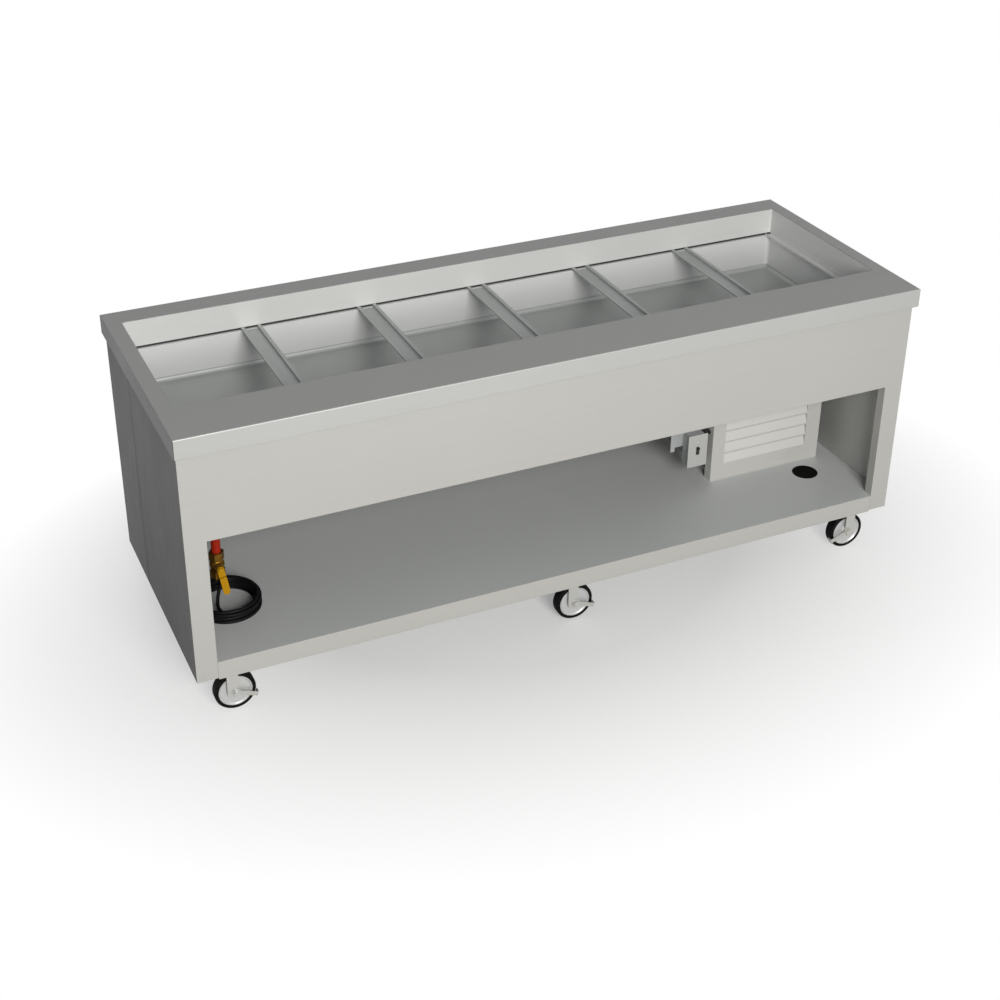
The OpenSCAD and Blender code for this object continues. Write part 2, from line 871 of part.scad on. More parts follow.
module louvre_cover() {
    width = cover_width - louvre_left - louvre_right;
    count = floor((cover_height - louvre_low - louvre_height) / louvre_pitch);
    color(panel_steel)
        translate([cover_x - cover_width / 2, cover_y, shelf_height]) {
            difference() {
                cube([cover_width, cover_flange, cover_height]);
                translate([sheet, sheet, -cut])
                    cube([cover_width - 2 * sheet, cover_flange, cover_height - sheet + cut]);
                for (i = [0 : count - 1])
                    translate([louvre_left + sheet, -cut, louvre_low + i * louvre_pitch])
                        cube([width - 2 * sheet, sheet + 2 * cut, louvre_height - 2 * sheet]);
            }
            for (i = [0 : count - 1])
                translate([louvre_left + width, 0, louvre_low + i * louvre_pitch])
                    rotate([90, 0, -90]) louvre(width);
        }
}

module unit_frame() {
    ring_y = cover_y + coil_gap + coil_thick;
    color(galvanised) {
        difference() {
            translate([cover_x - tray_half, cover_y + coil_gap - shroud_depth / 2, shelf_height])
                cube([2 * tray_half, tray_depth, tray_height]);
            translate([cover_x - tray_half + sheet, cover_y + coil_gap - shroud_depth / 2 + sheet,
                    shelf_height - cut])
                cube([2 * tray_half - 2 * sheet, tray_depth - 2 * sheet, tray_height - sheet + cut]);
        }
        difference() {
            translate([cover_x - unit_half, ring_y, shelf_height + tray_height])
                cube([2 * unit_half, shroud_depth, coil_height]);
            translate([cover_x - unit_half + sheet, ring_y - cut, shelf_height + tray_height + sheet])
                cube([2 * (unit_half - sheet), shroud_depth - sheet + cut, coil_height - 2 * sheet]);
            translate([cover_x, ring_y, fan_z])
                rotate([-90, 0, 0]) cylinder(h = shroud_depth + cut, r = fan_dia / 2 + 2 * bar_lip);
        }
        for (s = [-1, 1])
            translate([cover_x + s * fin_half - sheet / 2, ring_y + shroud_depth, fan_z - bridge_width / 2])
                cube([sheet, bridge_gap * 3, bridge_width]);
        difference() {
            translate([cover_x - fin_half, ring_y + shroud_depth + 3 * bridge_gap - sheet,
                    fan_z - bridge_width / 2])
                cube([2 * fin_half, sheet, bridge_width]);
            translate([cover_x, ring_y, fan_z])
                rotate([-90, 0, 0]) cylinder(h = tray_depth, r = shaft_radius * 2);
        }
    }
}

module condenser_coil() {
    color(dull_steel)
        translate([cover_x, cover_y + coil_gap, shelf_height + tray_height]) {
            translate([-fin_half, 0, 0]) cube([2 * fin_half, coil_thick, coil_height]);
            for (s = [-1, 1], i = [0 : coil_rows - 1])
                translate([s * fin_half, coil_thick / 2, (i + 1 / 2) * row_pitch])
                    rotate([90, 0, 0]) rotate_extrude() translate([row_pitch / 4, 0]) circle(tube_radius);
        }
}

module compressor() {
    base = body_z - compressor_foot - sheet;
    foot_half = shell_radius - compressor_foot;
    dome = shell_radius * dome_share;
    dome_rise = dome - sqrt(dome * dome - shell_radius * shell_radius);
    color(black)
        translate([cover_x, compressor_y, 0]) {
            for (sx = [-1, 1], sy = [-1, 1])
                translate([sx * foot_half, sy * foot_half, 0])
                    post(compressor_foot, base, base + compressor_foot);
            translate([0, 0, base + compressor_foot])
                linear_extrude(sheet * 2)
                    round_rect(2 * shell_radius, 2 * shell_radius, compressor_foot);
            post(shell_radius - compressor_foot / 2, body_z, body_z + shell_height);
            post(shell_radius, body_z + shell_height / 2, body_z + shell_height / 2 + compressor_foot / 2);
            intersection() {
                translate([0, 0, body_z + shell_height + dome_rise - dome]) sphere(dome);
                post(shell_radius - compressor_foot / 2,
                    body_z + shell_height - cut, body_z + shell_height + dome);
            }
            translate([shell_radius - compressor_foot, -compressor_foot * 2, body_z + shell_height / 2])
                cube([compressor_foot * 2, compressor_foot * 4, compressor_foot * 3]);
            translate([line_spread, 0, 0]) post(stub_radius, body_z + shell_height, suction_z);
            translate([shell_radius / 2, 0, discharge_z])
                rotate([0, 90, 0]) cylinder(h = discharge_x - cover_x - shell_radius / 2, r = stub_radius);
        }
}

module fan_motor() {
    face = cover_y + coil_gap + coil_thick + shroud_depth + 3 * bridge_gap;
    color(black)
        translate([cover_x, face, fan_z])
            rotate([-90, 0, 0]) {
                cylinder(h = motor_length / 4, r = motor_radius * 3 / 4);
                translate([0, 0, motor_length / 4]) cylinder(h = motor_length / 2, r = motor_radius);
                translate([0, 0, motor_length * 3 / 4])
                    cylinder(h = motor_length / 4, r = motor_radius * 3 / 4);
                translate([0, 0, fan_y - face]) cylinder(h = face - fan_y + cut, r = shaft_radius);
            }
}

module fan_blade() {
    blades = 4;
    pitch = 28;
    color(dull_steel)
        translate([cover_x, fan_y, fan_z])
            rotate([-90, 0, 0])
                difference() {
                    union() {
                        cylinder(h = hub_length, r = hub_radius);
                        intersection() {
                            cylinder(h = hub_length, r = fan_dia / 2);
                            for (k = [0 : blades - 1])
                                rotate([0, 0, 360 * k / blades])
                                    translate([0, 0, hub_length / 2])
                                        rotate([pitch, 0, 0])
                                            translate([0, -hub_length, -sheet / 2])
                                                cube([fan_dia / 2 + cut, 2 * hub_length, sheet]);
                        }
                    }
                    translate([0, 0, -cut]) cylinder(h = hub_length + 2 * cut, r = shaft_radius + play);
                }
}

// Lines between the unit and the evaporator, with the drier in the liquid line
module refrigerant_lines() {
    low = discharge_z;
    high = shelf_height + cover_height;
    bend = tube_dia * 2;
    drier = tube_radius * 5 / 2;
    color(copper) {
        run_of_tube([[cover_x + line_spread, header_y, shell_bottom],
            [cover_x + line_spread, header_y, high],
            [cover_x + line_spread, compressor_y, high],
            [cover_x + line_spread, compressor_y, suction_z]], tube_radius, bend);
        run_of_tube([[cover_x - line_spread, header_y, shell_bottom],
            [cover_x - line_spread, header_y, high],
            [cover_x - unit_half - tube_dia, header_y, high],
            [cover_x - unit_half - tube_dia, header_y, low],
            [cover_x - unit_half - tube_dia, cover_y + coil_gap + coil_thick / 2, low],
            [cover_x - fin_half, cover_y + coil_gap + coil_thick / 2, low]], tube_radius, bend);
        translate([cover_x - unit_half - tube_dia, header_y, 0])
            post(drier, low + coil_height / 4, low + coil_height * 3 / 4);
        run_of_tube([[discharge_x, compressor_y, low],
            [cover_x + unit_half + tube_dia, compressor_y, low],
            [cover_x + unit_half + tube_dia, cover_y + coil_gap + coil_thick / 2, low],
            [cover_x + fin_half, cover_y + coil_gap + coil_thick / 2, low]], tube_radius, bend);
    }
}

// Controls

module control_bracket() {
    left = plate_x - bracket_left;
    right = plate_x + bracket_right;
    low = plate_z - bracket_drop;
    color(galvanised) {
        translate([left, bracket_y, low]) cube([right - left, sheet, shell_bottom - low]);
        translate([left, bracket_y, low - bracket_leg_drop])
            cube([bracket_leg, sheet, bracket_leg_drop + cut]);
        translate([left, bracket_y, shell_bottom - sheet])
            cube([right - left, bracket_flange, sheet]);
    }
}

module electrical_boxes() {
    color(galvanised) {
        translate([plate_x, plate_y + plate_sheet, plate_z])
            rotate([-90, 0, 0])
                difference() {
                    linear_extrude(box_depth) round_rect(box_width, box_height, 2 * box_wall);
                    translate([0, 0, -cut])
                        linear_extrude(box_depth - box_wall + cut)
                            round_rect(box_width - 2 * box_wall, box_height - 2 * box_wall, box_wall);
                }
        translate([coil_x + drop_place[0], coil_y + drop_place[1], shell_bottom - junction_height])
            linear_extrude(junction_height) round_rect(box_height, box_width, 2 * box_wall);
    }
}

module switch_plate() {
    color(steel)
        translate([plate_x, plate_y + plate_sheet, plate_z])
            rotate([90, 0, 0])
                linear_extrude(plate_sheet)
                    difference() {
                        round_rect(plate_width, plate_height, 2 * plate_sheet);
                        square([rocker_width + 2 * gap, rocker_height + 2 * plate_sheet], center = true);
                    }
}

// Rocker: two flats that meet at a shallow angle, on a pivot behind the plate
module switch_rocker() {
    half = rocker_height / 2;
    color(black)
        translate([plate_x, plate_y, plate_z])
            rotate([rocker_angle, 0, 0])
                rotate([90, 0, 90])
                    linear_extrude(rocker_width, center = true)
                        polygon([[-rocker_reach - half * sin(rocker_angle), half], [-rocker_reach, 0],
                            [-rocker_reach - half * sin(rocker_angle), -half],
                            [rocker_reach, -half * 3 / 4], [2 * rocker_reach, 0],
                            [rocker_reach, half * 3 / 4]]);
}

// Conduit from the junction box to the back of the switch box, and the short
// connector from the switch box to the unit's cover
module flex_conduit() {
    run_y = coil_y + drop_place[1];
    run_z = shell_bottom - junction_height / 2;
    behind = bracket_y + sheet + 3 * conduit_radius;
    color(black) {
        run_of_tube([[coil_x + drop_place[0] + box_height / 2, run_y, run_z],
            [plate_x - bracket_left - 2 * conduit_radius, run_y, run_z],
            [plate_x - bracket_left - 2 * conduit_radius, behind, run_z],
            [plate_x, behind, run_z], [plate_x, behind, plate_z],
            [plate_x, bracket_y + sheet, plate_z]], conduit_radius, 2 * conduit_radius);
        translate([plate_x + box_width / 2, plate_y + box_depth / 2, conduit_z])
            rotate([0, 90, 0])
                cylinder(h = cover_x - cover_width / 2 - plate_x - box_width / 2, r = conduit_radius);
    }
}

// Blind rubber grommet in the shelf's hole
module shelf_grommet() {
    color(rubber)
        translate([hole_x, hole_y, 0]) {
            post(hole_dia / 2 + grommet_lip, shelf_height, shelf_height + sheet);
            post(hole_dia / 2, shelf_height - sheet, shelf_height + sheet / 2);
            post(hole_dia / 2 + grommet_lip, shelf_height - 2 * sheet, shelf_height - sheet);
        }
}

// Casters

// Moves its children to a caster's swivel axis and mirrors them to its trail
module at_caster(i) {
    translate([mounts[i][0], mounts[i][1], 0])
        mirror([mounts[i][2] < 0 ? 1 : 0, 0, 0]) children();
}

module caster_fork(i) {
    reach = leg_outer + (mounts[i][3] ? brake_stack : 0);
    leg_x = caster_trail - leg_offset;
    color(steel)
        at_caster(i) {
            difference() {
                union() {
                    post(crown_radius, crown_bottom, race_bottom - gap);
                    translate([leg_x + leg_width / 2 - crown_radius - leg_width, -leg_outer, crown_bottom])
                        cube([crown_radius + leg_width, 2 * leg_outer, fork_sheet]);
                    for (s = [0, 1])
                        mirror([0, s, 0])
                            translate([leg_x, leg_outer, 0])
                                rotate([90, 0, 0])
                                    linear_extrude(fork_sheet) {
                                        translate([-leg_width / 2, wheel_radius])
                                            square([leg_width, crown_bottom + fork_sheet - wheel_radius]);
                                        translate([0, wheel_radius]) circle(leg_width / 2);
                                    }
                }
                post(pin_radius + play, crown_bottom - cut, race_bottom);
            }
            translate([caster_trail, 0, wheel_radius])
                rotate([90, 0, 0]) {
                    translate([0, 0, -leg_outer]) cylinder(h = leg_outer + reach, r = axle_radius);
                    translate([0, 0, reach]) cylinder(h = bolt_height, r = bolt_radius, $fn = 6);
                    translate([0, 0, -leg_outer - bolt_height])
                        cylinder(h = bolt_height, r = bolt_radius, $fn = 6);
                }
        }
}

// Places a profile's revolution on a caster's axle
module on_axle(i) {
    at_caster(i)
        translate([caster_trail, 0, wheel_radius])
            rotate([90, 0, 0])
                rotate_extrude() children();
}

module caster_wheel(i) {
    rim = wheel_radius - tyre_thick;
    hub_half = leg_inner - hub_clear;
    rim_half = tyre_width / 2 - hub_clear;
    dish = rim_half - 2 * hub_clear;
    color(steel)
        on_axle(i)
            polygon([[axle_radius + play, -hub_half], [caster_hub, -hub_half],
                [caster_hub + fork_sheet, -dish], [rim - 2 * fork_sheet, -dish],
                [rim - fork_sheet, -rim_half], [rim, -rim_half], [rim, rim_half],
                [rim - fork_sheet, rim_half], [rim - 2 * fork_sheet, dish],
                [caster_hub + fork_sheet, dish], [caster_hub, hub_half],
                [axle_radius + play, hub_half]]);
}

module caster_tyre(i) {
    rim = wheel_radius - tyre_thick;
    edge = tyre_thick / 2;
    color(rubber)
        on_axle(i) {
            translate([rim, -tyre_width / 2]) square([tyre_thick - edge, tyre_width]);
            translate([rim, -tyre_width / 2 + edge]) square([tyre_thick, tyre_width - 2 * edge]);
            for (s = [-1, 1])
                translate([wheel_radius - edge, s * (tyre_width / 2 - edge)]) circle(edge);
        }
}

module brake_lever(i) {
    tab_at = wheel_radius + brake_clear;
    inner = leg_outer + gap;
    color(galvanised)
        at_caster(i)
            translate([caster_trail, 0, wheel_radius])
                rotate([0, -brake_angle, 0]) {
                    difference() {
                        translate([0, -inner, 0])
                            rotate([90, 0, 0])
                                linear_extrude(brake_sheet) {
                                    circle(brake_width);
                                    translate([0, -brake_width / 2])
                                        square([tab_at + brake_sheet, brake_width]);
                                }
                        rotate([90, 0, 0]) cylinder(h = 2 * leg_outer, r = axle_radius + play);
                    }
                    translate([tab_at, -inner - brake_sheet, -brake_tab / 2])
                        cube([brake_sheet, inner + brake_sheet - tyre_width / 4, brake_tab]);
                }
}

// Power cord

function unit(v) = v / norm(v);
function add_shelf(points) = [for (p = points) [coil_x + p[0], coil_y + p[1], shelf_height + p[2]]];

// Radius and height of the coil's centreline after t turns from its inner,
// lower end: it reverses in the middle of each climb to the next layer
layer_turns = 1 + climb_turns;
first_turn = layer_turns - climb_turns / 2;
function reversals(t) = t < first_turn ? 0 : 1 + floor((t - first_turn) / layer_turns);
function swing(t) =
    let (n = reversals(t), top = first_turn, since = t - first_turn - (n - 1) * layer_turns)
    n == 0 ? t : n % 2 == 1 ? top - since : top - layer_turns + since;
function dip(t) = t < dip_turns ? coil_dip * pow(1 - t / dip_turns, 2) : 0;
function coil_radius(t) = coil_inner + coil_pitch * swing(t) - dip(t) - dip(coil_turns - t);
function coil_rise(t) =
    let (n = floor(t / layer_turns), since = t - n * layer_turns)
    coil_pitch * (n + max(0, since - 1) / climb_turns);
function coil_point(t) =
    let (a = coil_start + 360 * t, r = coil_radius(t))
    [coil_x + r * cos(a), coil_y + r * sin(a), shelf_height + gap + cord_radius + coil_rise(t)];

// Ends of the coil run straight for one diameter
coil_steps = round(coil_turns * rings_a_turn);
coil_loops = [for (i = [0 : coil_steps]) coil_point(i * coil_turns / coil_steps)];
coil_in = cord_dia * unit(coil_loops[1] - coil_loops[0]);
coil_out = cord_dia * unit(coil_loops[coil_steps] - coil_loops[coil_steps - 1]);
coil_centres = concat([coil_loops[0] - coil_in], coil_loops, [coil_loops[coil_steps] + coil_out]);

// Least gap between turns, measured between ring centres half a turn or more
// apart, less the cord's diameter
coil_gaps = [for (i = [0 : coil_steps], j = [i + rings_a_turn / 2 : 1 : coil_steps + 2])
    norm(coil_centres[i] - coil_centres[j]) - cord_dia];
echo(least_coil_gap = min(coil_gaps));

function heading(p, i) =
    unit(i == 0 ? p[1] - p[0] : i == len(p) - 1 ? p[i] - p[i - 1] : p[i + 1] - p[i - 1]);
function square_to(v, t) = unit(v - (v * t) * t);
// Side vectors carried along the points without twist
function sides_along(p, first) =
    [for (i = 0, s = square_to(first, heading(p, 0)); i < len(p);
        i = i + 1, s = i < len(p) ? square_to(s, heading(p, i)) : s) s];

// One closed tube through the points
module swept_tube(p, r, count, first) {
    side = sides_along(p, first);
    last = len(p) - 1;
    points = [for (i = [0 : last], k = [0 : count - 1])
        let (t = heading(p, i), b = cross(t, side[i]), a = 360 * k / count)
        p[i] + r * (cos(a) * side[i] + sin(a) * b)];
    skin = [for (i = [0 : last - 1], k = [0 : count - 1])
        let (a = i * count + k, b = i * count + (k + 1) % count)
        each [[a, b + count, b], [a, a + count, b + count]]];
    start = [for (k = [1 : count - 2]) [0, k, k + 1]];
    end = [for (k = [1 : count - 2]) [last * count, last * count + k + 1, last * count + k]];
    polyhedron(points, concat(start, skin, end));
}

// Places at a steady spacing on the smooth curve through a list of points
function on_curve(a, b, c, d, u) =
    (2 * b + (c - a) * u + (2 * a - 5 * b + 4 * c - d) * u * u + (3 * b - a - 3 * c + d) * u * u * u) / 2;
function smooth(p, steps) =
    [for (i = [0 : len(p) - 2], k = [0 : steps - 1])
        on_curve(p[max(i - 1, 0)], p[i], p[i + 1], p[min(i + 2, len(p) - 1)], k / steps)];

module cord_coil() {
    color(black) swept_tube(coil_centres, cord_radius, 6, [0, 0, 1]);
}

// Drop from the gland to the coil, and the run from the coil to the plug
module cord_tube() {
    gland_at = [coil_x + drop_place[0], coil_y + drop_place[1], gland_end];
    down = [0, 0, -cord_dia];
    drop = concat([gland_at + down], add_shelf(drop_points), [coil_centres[0] - coil_in]);
    last = coil_centres[coil_steps + 2];
    plug_at = add_shelf([plug_start])[0];
    run = concat([last + coil_out], add_shelf(plug_points), [plug_at + [0, cord_dia, 0]]);
    color(black) {
        swept_tube(concat([gland_at], smooth(drop, 2), [coil_centres[0] - coil_in, coil_centres[0]]),
            cord_radius, 8, [1, 0, 0]);
        swept_tube(concat([last], smooth(run, 1), [plug_at + [0, cord_dia, 0], plug_at]),
            cord_radius, 8, [0, 0, 1]);
    }
}

module cord_gland() {
    base = shell_bottom - junction_height;
    color(black)
        translate([coil_x + drop_place[0], coil_y + drop_place[1], 0]) {
            translate([0, 0, base - gland_nut]) cylinder(h = gland_nut, r = gland_radius, $fn = 6);
            post(gland_radius - 2 * sheet, base - gland_nut - gland_collar, base - gland_nut);
            translate([0, 0, gland_end])
                cylinder(h = gland_taper, r1 = cord_radius + sheet, r2 = gland_radius - 2 * sheet);
        }
}

module cord_plug() {
    at = add_shelf([plug_start])[0];
    face = plug_relief + plug_taper + plug_body;
    color(black)
        translate(at)
            rotate([90, 0, 0]) {
                cylinder(h = plug_relief, r1 = cord_radius, r2 = cord_radius * 2);
                translate([0, 0, plug_relief])
                    cylinder(h = plug_taper, r1 = cord_radius * 2, r2 = plug_radius);
                translate([0, 0, plug_relief + plug_taper]) cylinder(h = plug_body, r = plug_radius);
                for (s = [-1, 1])
                    translate([s * blade_spread / 2 - blade[1] / 2, 0, face])
                        cube([blade[1], blade[0], blade[2]]);
                translate([0, -blade[0], face]) cylinder(h = blade[2], r = earth_radius);
            }
}

countertop();
thermal_break();
well_liner();
well_insulation();
cooling_tube();
well_shell();
front_fascia();
end_panel(-1);  // left_end_panel
end_panel(1);  // right_end_panel
back_panel();
bottom_shelf();
caster_mounts();
end_rails();
adapter_bar(1);  // adapter_bar_1
adapter_bar(2);  // adapter_bar_2
adapter_bar(3);  // adapter_bar_3
adapter_bar(4);  // adapter_bar_4
adapter_bar(5);  // adapter_bar_5
drain_strainer();
drain_pipe();
drain_valve();
drain_lever();
louvre_cover();
unit_frame();
compressor();
condenser_coil();
fan_motor();
fan_blade();
refrigerant_lines();
control_bracket();
electrical_boxes();
switch_plate();
switch_rocker();
flex_conduit();
shelf_grommet();
cord_gland();
cord_tube();
cord_coil();
cord_plug();
caster_fork(0);  // caster_fork_1
caster_fork(1);  // caster_fork_2
caster_fork(2);  // caster_fork_3
caster_fork(3);  // caster_fork_4
caster_fork(4);  // caster_fork_5
caster_fork(5);  // caster_fork_6
caster_wheel(0);  // caster_wheel_1
caster_wheel(1);  // caster_wheel_2
caster_wheel(2);  // caster_wheel_3
caster_wheel(3);  // caster_wheel_4
caster_wheel(4);  // caster_wheel_5
caster_wheel(5);  // caster_wheel_6
caster_tyre(0);  // caster_tyre_1
caster_tyre(1);  // caster_tyre_2
caster_tyre(2);  // caster_tyre_3
caster_tyre(3);  // caster_tyre_4
caster_tyre(4);  // caster_tyre_5
caster_tyre(5);  // caster_tyre_6
brake_lever(0);  // brake_lever_1
brake_lever(1);  // brake_lever_2
brake_lever(2);  // brake_lever_3
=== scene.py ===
import math

import bpy
from mathutils import Matrix, Vector


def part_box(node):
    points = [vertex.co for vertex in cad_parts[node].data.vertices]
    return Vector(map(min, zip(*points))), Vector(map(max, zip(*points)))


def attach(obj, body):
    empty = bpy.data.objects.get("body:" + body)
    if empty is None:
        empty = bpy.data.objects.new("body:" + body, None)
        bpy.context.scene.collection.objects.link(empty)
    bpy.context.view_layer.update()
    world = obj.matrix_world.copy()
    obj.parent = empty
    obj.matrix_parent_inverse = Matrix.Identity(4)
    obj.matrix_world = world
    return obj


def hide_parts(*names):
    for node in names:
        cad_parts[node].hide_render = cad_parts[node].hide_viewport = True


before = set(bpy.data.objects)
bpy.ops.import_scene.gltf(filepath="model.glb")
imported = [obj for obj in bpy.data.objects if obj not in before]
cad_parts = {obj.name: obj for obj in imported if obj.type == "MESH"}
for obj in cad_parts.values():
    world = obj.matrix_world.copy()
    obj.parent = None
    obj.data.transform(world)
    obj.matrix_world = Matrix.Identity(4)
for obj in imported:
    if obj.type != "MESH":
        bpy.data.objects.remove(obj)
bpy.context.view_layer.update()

# Camera. It stands to the front left of the counter and looks down on it. Its place,
# turn and lens were fitted to the corners of the worktop, the posts and the shelf.
camera_place = (-1.8982, -3.9523, 2.9214)
camera_azimuth = -0.41617
camera_elevation = 0.49
lens = bpy.data.cameras.new("camera")
lens.lens = 58.8985
lens.shift_x = 0.03012
lens.shift_y = -0.0995
lens.clip_end = 60
camera = bpy.data.objects.new("camera", lens)
camera.location = camera_place
camera.rotation_euler = (math.pi / 2 - camera_elevation, 0, camera_azimuth)
bpy.context.scene.collection.objects.link(camera)
bpy.context.scene.camera = camera
bpy.context.scene.view_settings.view_transform = "Standard"


# Power cord. A rubber-jacketed three-core cord drops from its gland under the well,
# is wound into a coil of four layers on the shelf and ends in a grounded plug.
class Signal:
    """A shader socket that Python's operators do maths on."""

    def __init__(self, finish, socket):
        self.finish, self.socket = finish, socket

    def maths(self, operation, *values):
        return self.finish.node("Math", dict(enumerate(values)), operation=operation)

    def __add__(self, other):
        return self.maths("ADD", self, other)

    def __mul__(self, other):
        return self.maths("MULTIPLY", self, other)

    __radd__ = __add__
    __rmul__ = __mul__

    def away(self):
        return self.maths("ABSOLUTE", self)

    def ramp(self, low, high, start=0.0, end=1.0):
        """Runs from start to end as the signal goes from low to high, and stays there."""
        return self.finish.node("MapRange", {0: self, 1: low, 2: high, 3: start, 4: end})


class Finish:
    """A material: fixed values on its shader's sockets, and nodes that feed the rest."""

    def __init__(self, name, colour, metallic=0.0, roughness=0.5, **fixed):
        self.material = bpy.data.materials.new(name)
        self.material.use_nodes = True
        self.material.diffuse_color = (*colour, 1)
        self.tree = self.material.node_tree
        self.shader = self.tree.nodes["Principled BSDF"]
        self.colour, self.roughness = colour, roughness
        self.put(Base_Color=(*colour, 1), Metallic=metallic, Roughness=roughness, **fixed)

    def put(self, **sockets):
        for name, value in sockets.items():
            socket = self.shader.inputs[name.replace("_", " ")]
            if isinstance(value, Signal):
                self.tree.links.new(value.socket, socket)
            else:
                socket.default_value = value

    def node(self, kind, inputs=None, output=0, **settings):
        """Adds a node, sets its settings, then the values or links of its sockets."""
        made = self.tree.nodes.new("ShaderNode" + kind)
        for name, value in settings.items():
            setattr(made, name, value)
        for key, value in (inputs or {}).items():
            if isinstance(value, Signal):
                self.tree.links.new(value.socket, made.inputs[key])
            else:
                made.inputs[key].default_value = value
        return Signal(self, made.outputs[output])

    def place(self):
        return self.node("TexCoord", output="Object")

    def axis(self, name):
        return self.node("SeparateXYZ", {0: self.place()}, output=name)

    def noise(self, scale, detail=2.0, stretch=(1, 1, 1)):
        """Noise with so many patches a metre, drawn out by stretch, centred on a half."""
        at = self.node("VectorMath", {0: self.place(), 1: stretch}, operation="MULTIPLY")
        return self.node("TexNoise", {"Vector": at, "Scale": scale, "Detail": detail})

    def tint(self, mask, colour, base=None):
        """Mixes a colour over the base colour, or over what is given, where the mask is 1."""
        under = base if base is not None else (*self.colour, 1)
        return self.node("Mix", {0: mask, 6: under, 7: (*colour, 1)}, 2, data_type="RGBA")

    def relief(self, height, depth, edge=0.0):
        """Bump of so many metres' depth, on edges that look rounded off by edge metres."""
        inputs = {"Height": height, "Distance": depth, "Strength": 1.0}
        if edge:
            inputs["Normal"] = self.node("Bevel", {"Radius": edge}, samples=4)
        self.put(Normal=self.node("Bump", inputs))


cord_radius = 0.0052
coil_middle = Vector((-0.972, -0.141, 0.197))
coil_inner, coil_pitch, coil_dip = 0.082, 0.011, 0.008
coil_clear = 0.0003
coil_turns, dip_turns, climb_turns = 5 + 1 / 3, 0.25, 0.5
coil_first_angle = math.radians(-30)
layer_turns = 1 + climb_turns
first_layer = layer_turns - climb_turns / 2
steps_a_turn = 48
gland_mouth = Vector((-0.984, -0.118, 0.5773))
route_steps = 6
drop_route = [(-12, 23, 330), (-12, 23, 270), (-12, 23, 210), (-12.1, 22.9, 150),
              (-11.4, 22.3, 105.5), (-12.1, 21, 64.3), (-26.3, 3.2, 31.4), (-33.1, -23.6, 16.7),
              (-24.4, -52.1, 10.5), (-5.3, -69.1, 7.5), (17.1, -73.9, 6), (38.7, -67.6, 5.6)]
plug_route = [(-37.9, 71.1, 40.5), (-59.4, 58.3, 45.1), (-73.8, 38.5, 50.4), (-83.5, 18.8, 52.3),
              (-96.4, -2.2, 50.1), (-107.1, -24, 42.1), (-116.1, -48, 32), (-123.1, -73.9, 22.9)]
plug_place = coil_middle + Vector((-0.126, -0.112, 0.018))


def coil_swing(turn):
    """Layers of radius between the coil's inner edge and the cord after so many turns."""
    if turn < first_layer:
        return turn
    layer = math.floor((turn - first_layer) / layer_turns)
    since = turn - first_layer - layer * layer_turns
    return first_layer - since if layer % 2 == 0 else first_layer - layer_turns + since


def coil_dip_at(turn):
    """How far the cord leans in towards the middle, this near to an end of the coil."""
    return coil_dip * (1 - turn / dip_turns) ** 2 if turn < dip_turns else 0


def coil_point(turn):
    """A point on the middle of the coiled cord, as part.scad winds it."""
    angle = coil_first_angle + math.tau * turn
    dips = coil_dip_at(turn) + coil_dip_at(coil_turns - turn)
    radius = coil_inner + coil_pitch * coil_swing(turn) - dips
    layer = math.floor(turn / layer_turns)
    climb = max(0, turn - layer * layer_turns - 1) / climb_turns
    rise = coil_clear + cord_radius + coil_pitch * (layer + climb)
    return coil_middle + Vector((radius * math.cos(angle), radius * math.sin(angle), rise))


def between(a, b, c, d, u):
    """A point on the smooth curve from b to c."""
    return (2 * b + (c - a) * u + (2 * a - 5 * b + 4 * c - d) * u * u
            + (3 * b - a - 3 * c + d) * u * u * u) / 2


def smooth_route(points):
    """The points of a smooth curve through the ones given."""
    ends = [points[0], *points, points[-1]]
    route = [between(*ends[i:i + 4], step / route_steps)
             for i in range(len(points) - 1) for step in range(route_steps)]
    return route + [points[-1]]


coil_steps = round(coil_turns * steps_a_turn)
coil_route = [coil_point(i * coil_turns / coil_steps) for i in range(coil_steps + 1)]
straight = 2 * cord_radius
into_coil = (coil_route[1] - coil_route[0]).normalized() * straight
out_of_coil = (coil_route[-1] - coil_route[-2]).normalized() * straight
drop_points = [coil_middle + Vector(p) / 1000 for p in drop_route]
plug_points = [coil_middle + Vector(p) / 1000 for p in plug_route]
before_plug = plug_place + Vector((0, straight, 0))
below_gland = gland_mouth - Vector((0, 0, straight))
cord_route = [gland_mouth]
cord_route += smooth_route([below_gland, *drop_points, coil_route[0] - into_coil])
cord_route += coil_route
cord_route += smooth_route([coil_route[-1] + out_of_coil, *plug_points, before_plug])
cord_route += [plug_place]

line = bpy.data.curves.new("power_cord", "CURVE")
line.dimensions = "3D"
line.bevel_depth = cord_radius
line.bevel_resolution = 4
line.use_fill_caps = True
spline = line.splines.new("POLY")
spline.points.add(len(cord_route) - 1)
for point, place in zip(spline.points, cord_route):
    point.co = (*place, 1)
spline.use_smooth = True
power_cord = bpy.data.objects.new("power_cord", line)
bpy.context.scene.collection.objects.link(power_cord)
jacket = Finish("cord_jacket", (0.003, 0.003, 0.0035), roughness=0.5, Specular_IOR_Level=0.08)
dust = jacket.noise(35, 3).ramp(0.5, 0.75)
jacket.put(Base_Color=jacket.tint(dust * 0.4, (0.012, 0.012, 0.011)),
           Roughness=jacket.noise(300).ramp(0.3, 0.7, 0.42, 0.6))
jacket.relief(jacket.noise(900, 3), 0.0001)
power_cord.data.materials.append(jacket.material)
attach(power_cord, "cabinet")
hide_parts("cord_tube", "cord_coil")
cord_length = sum((b - a).length for a, b in zip(cord_route, cord_route[1:]))


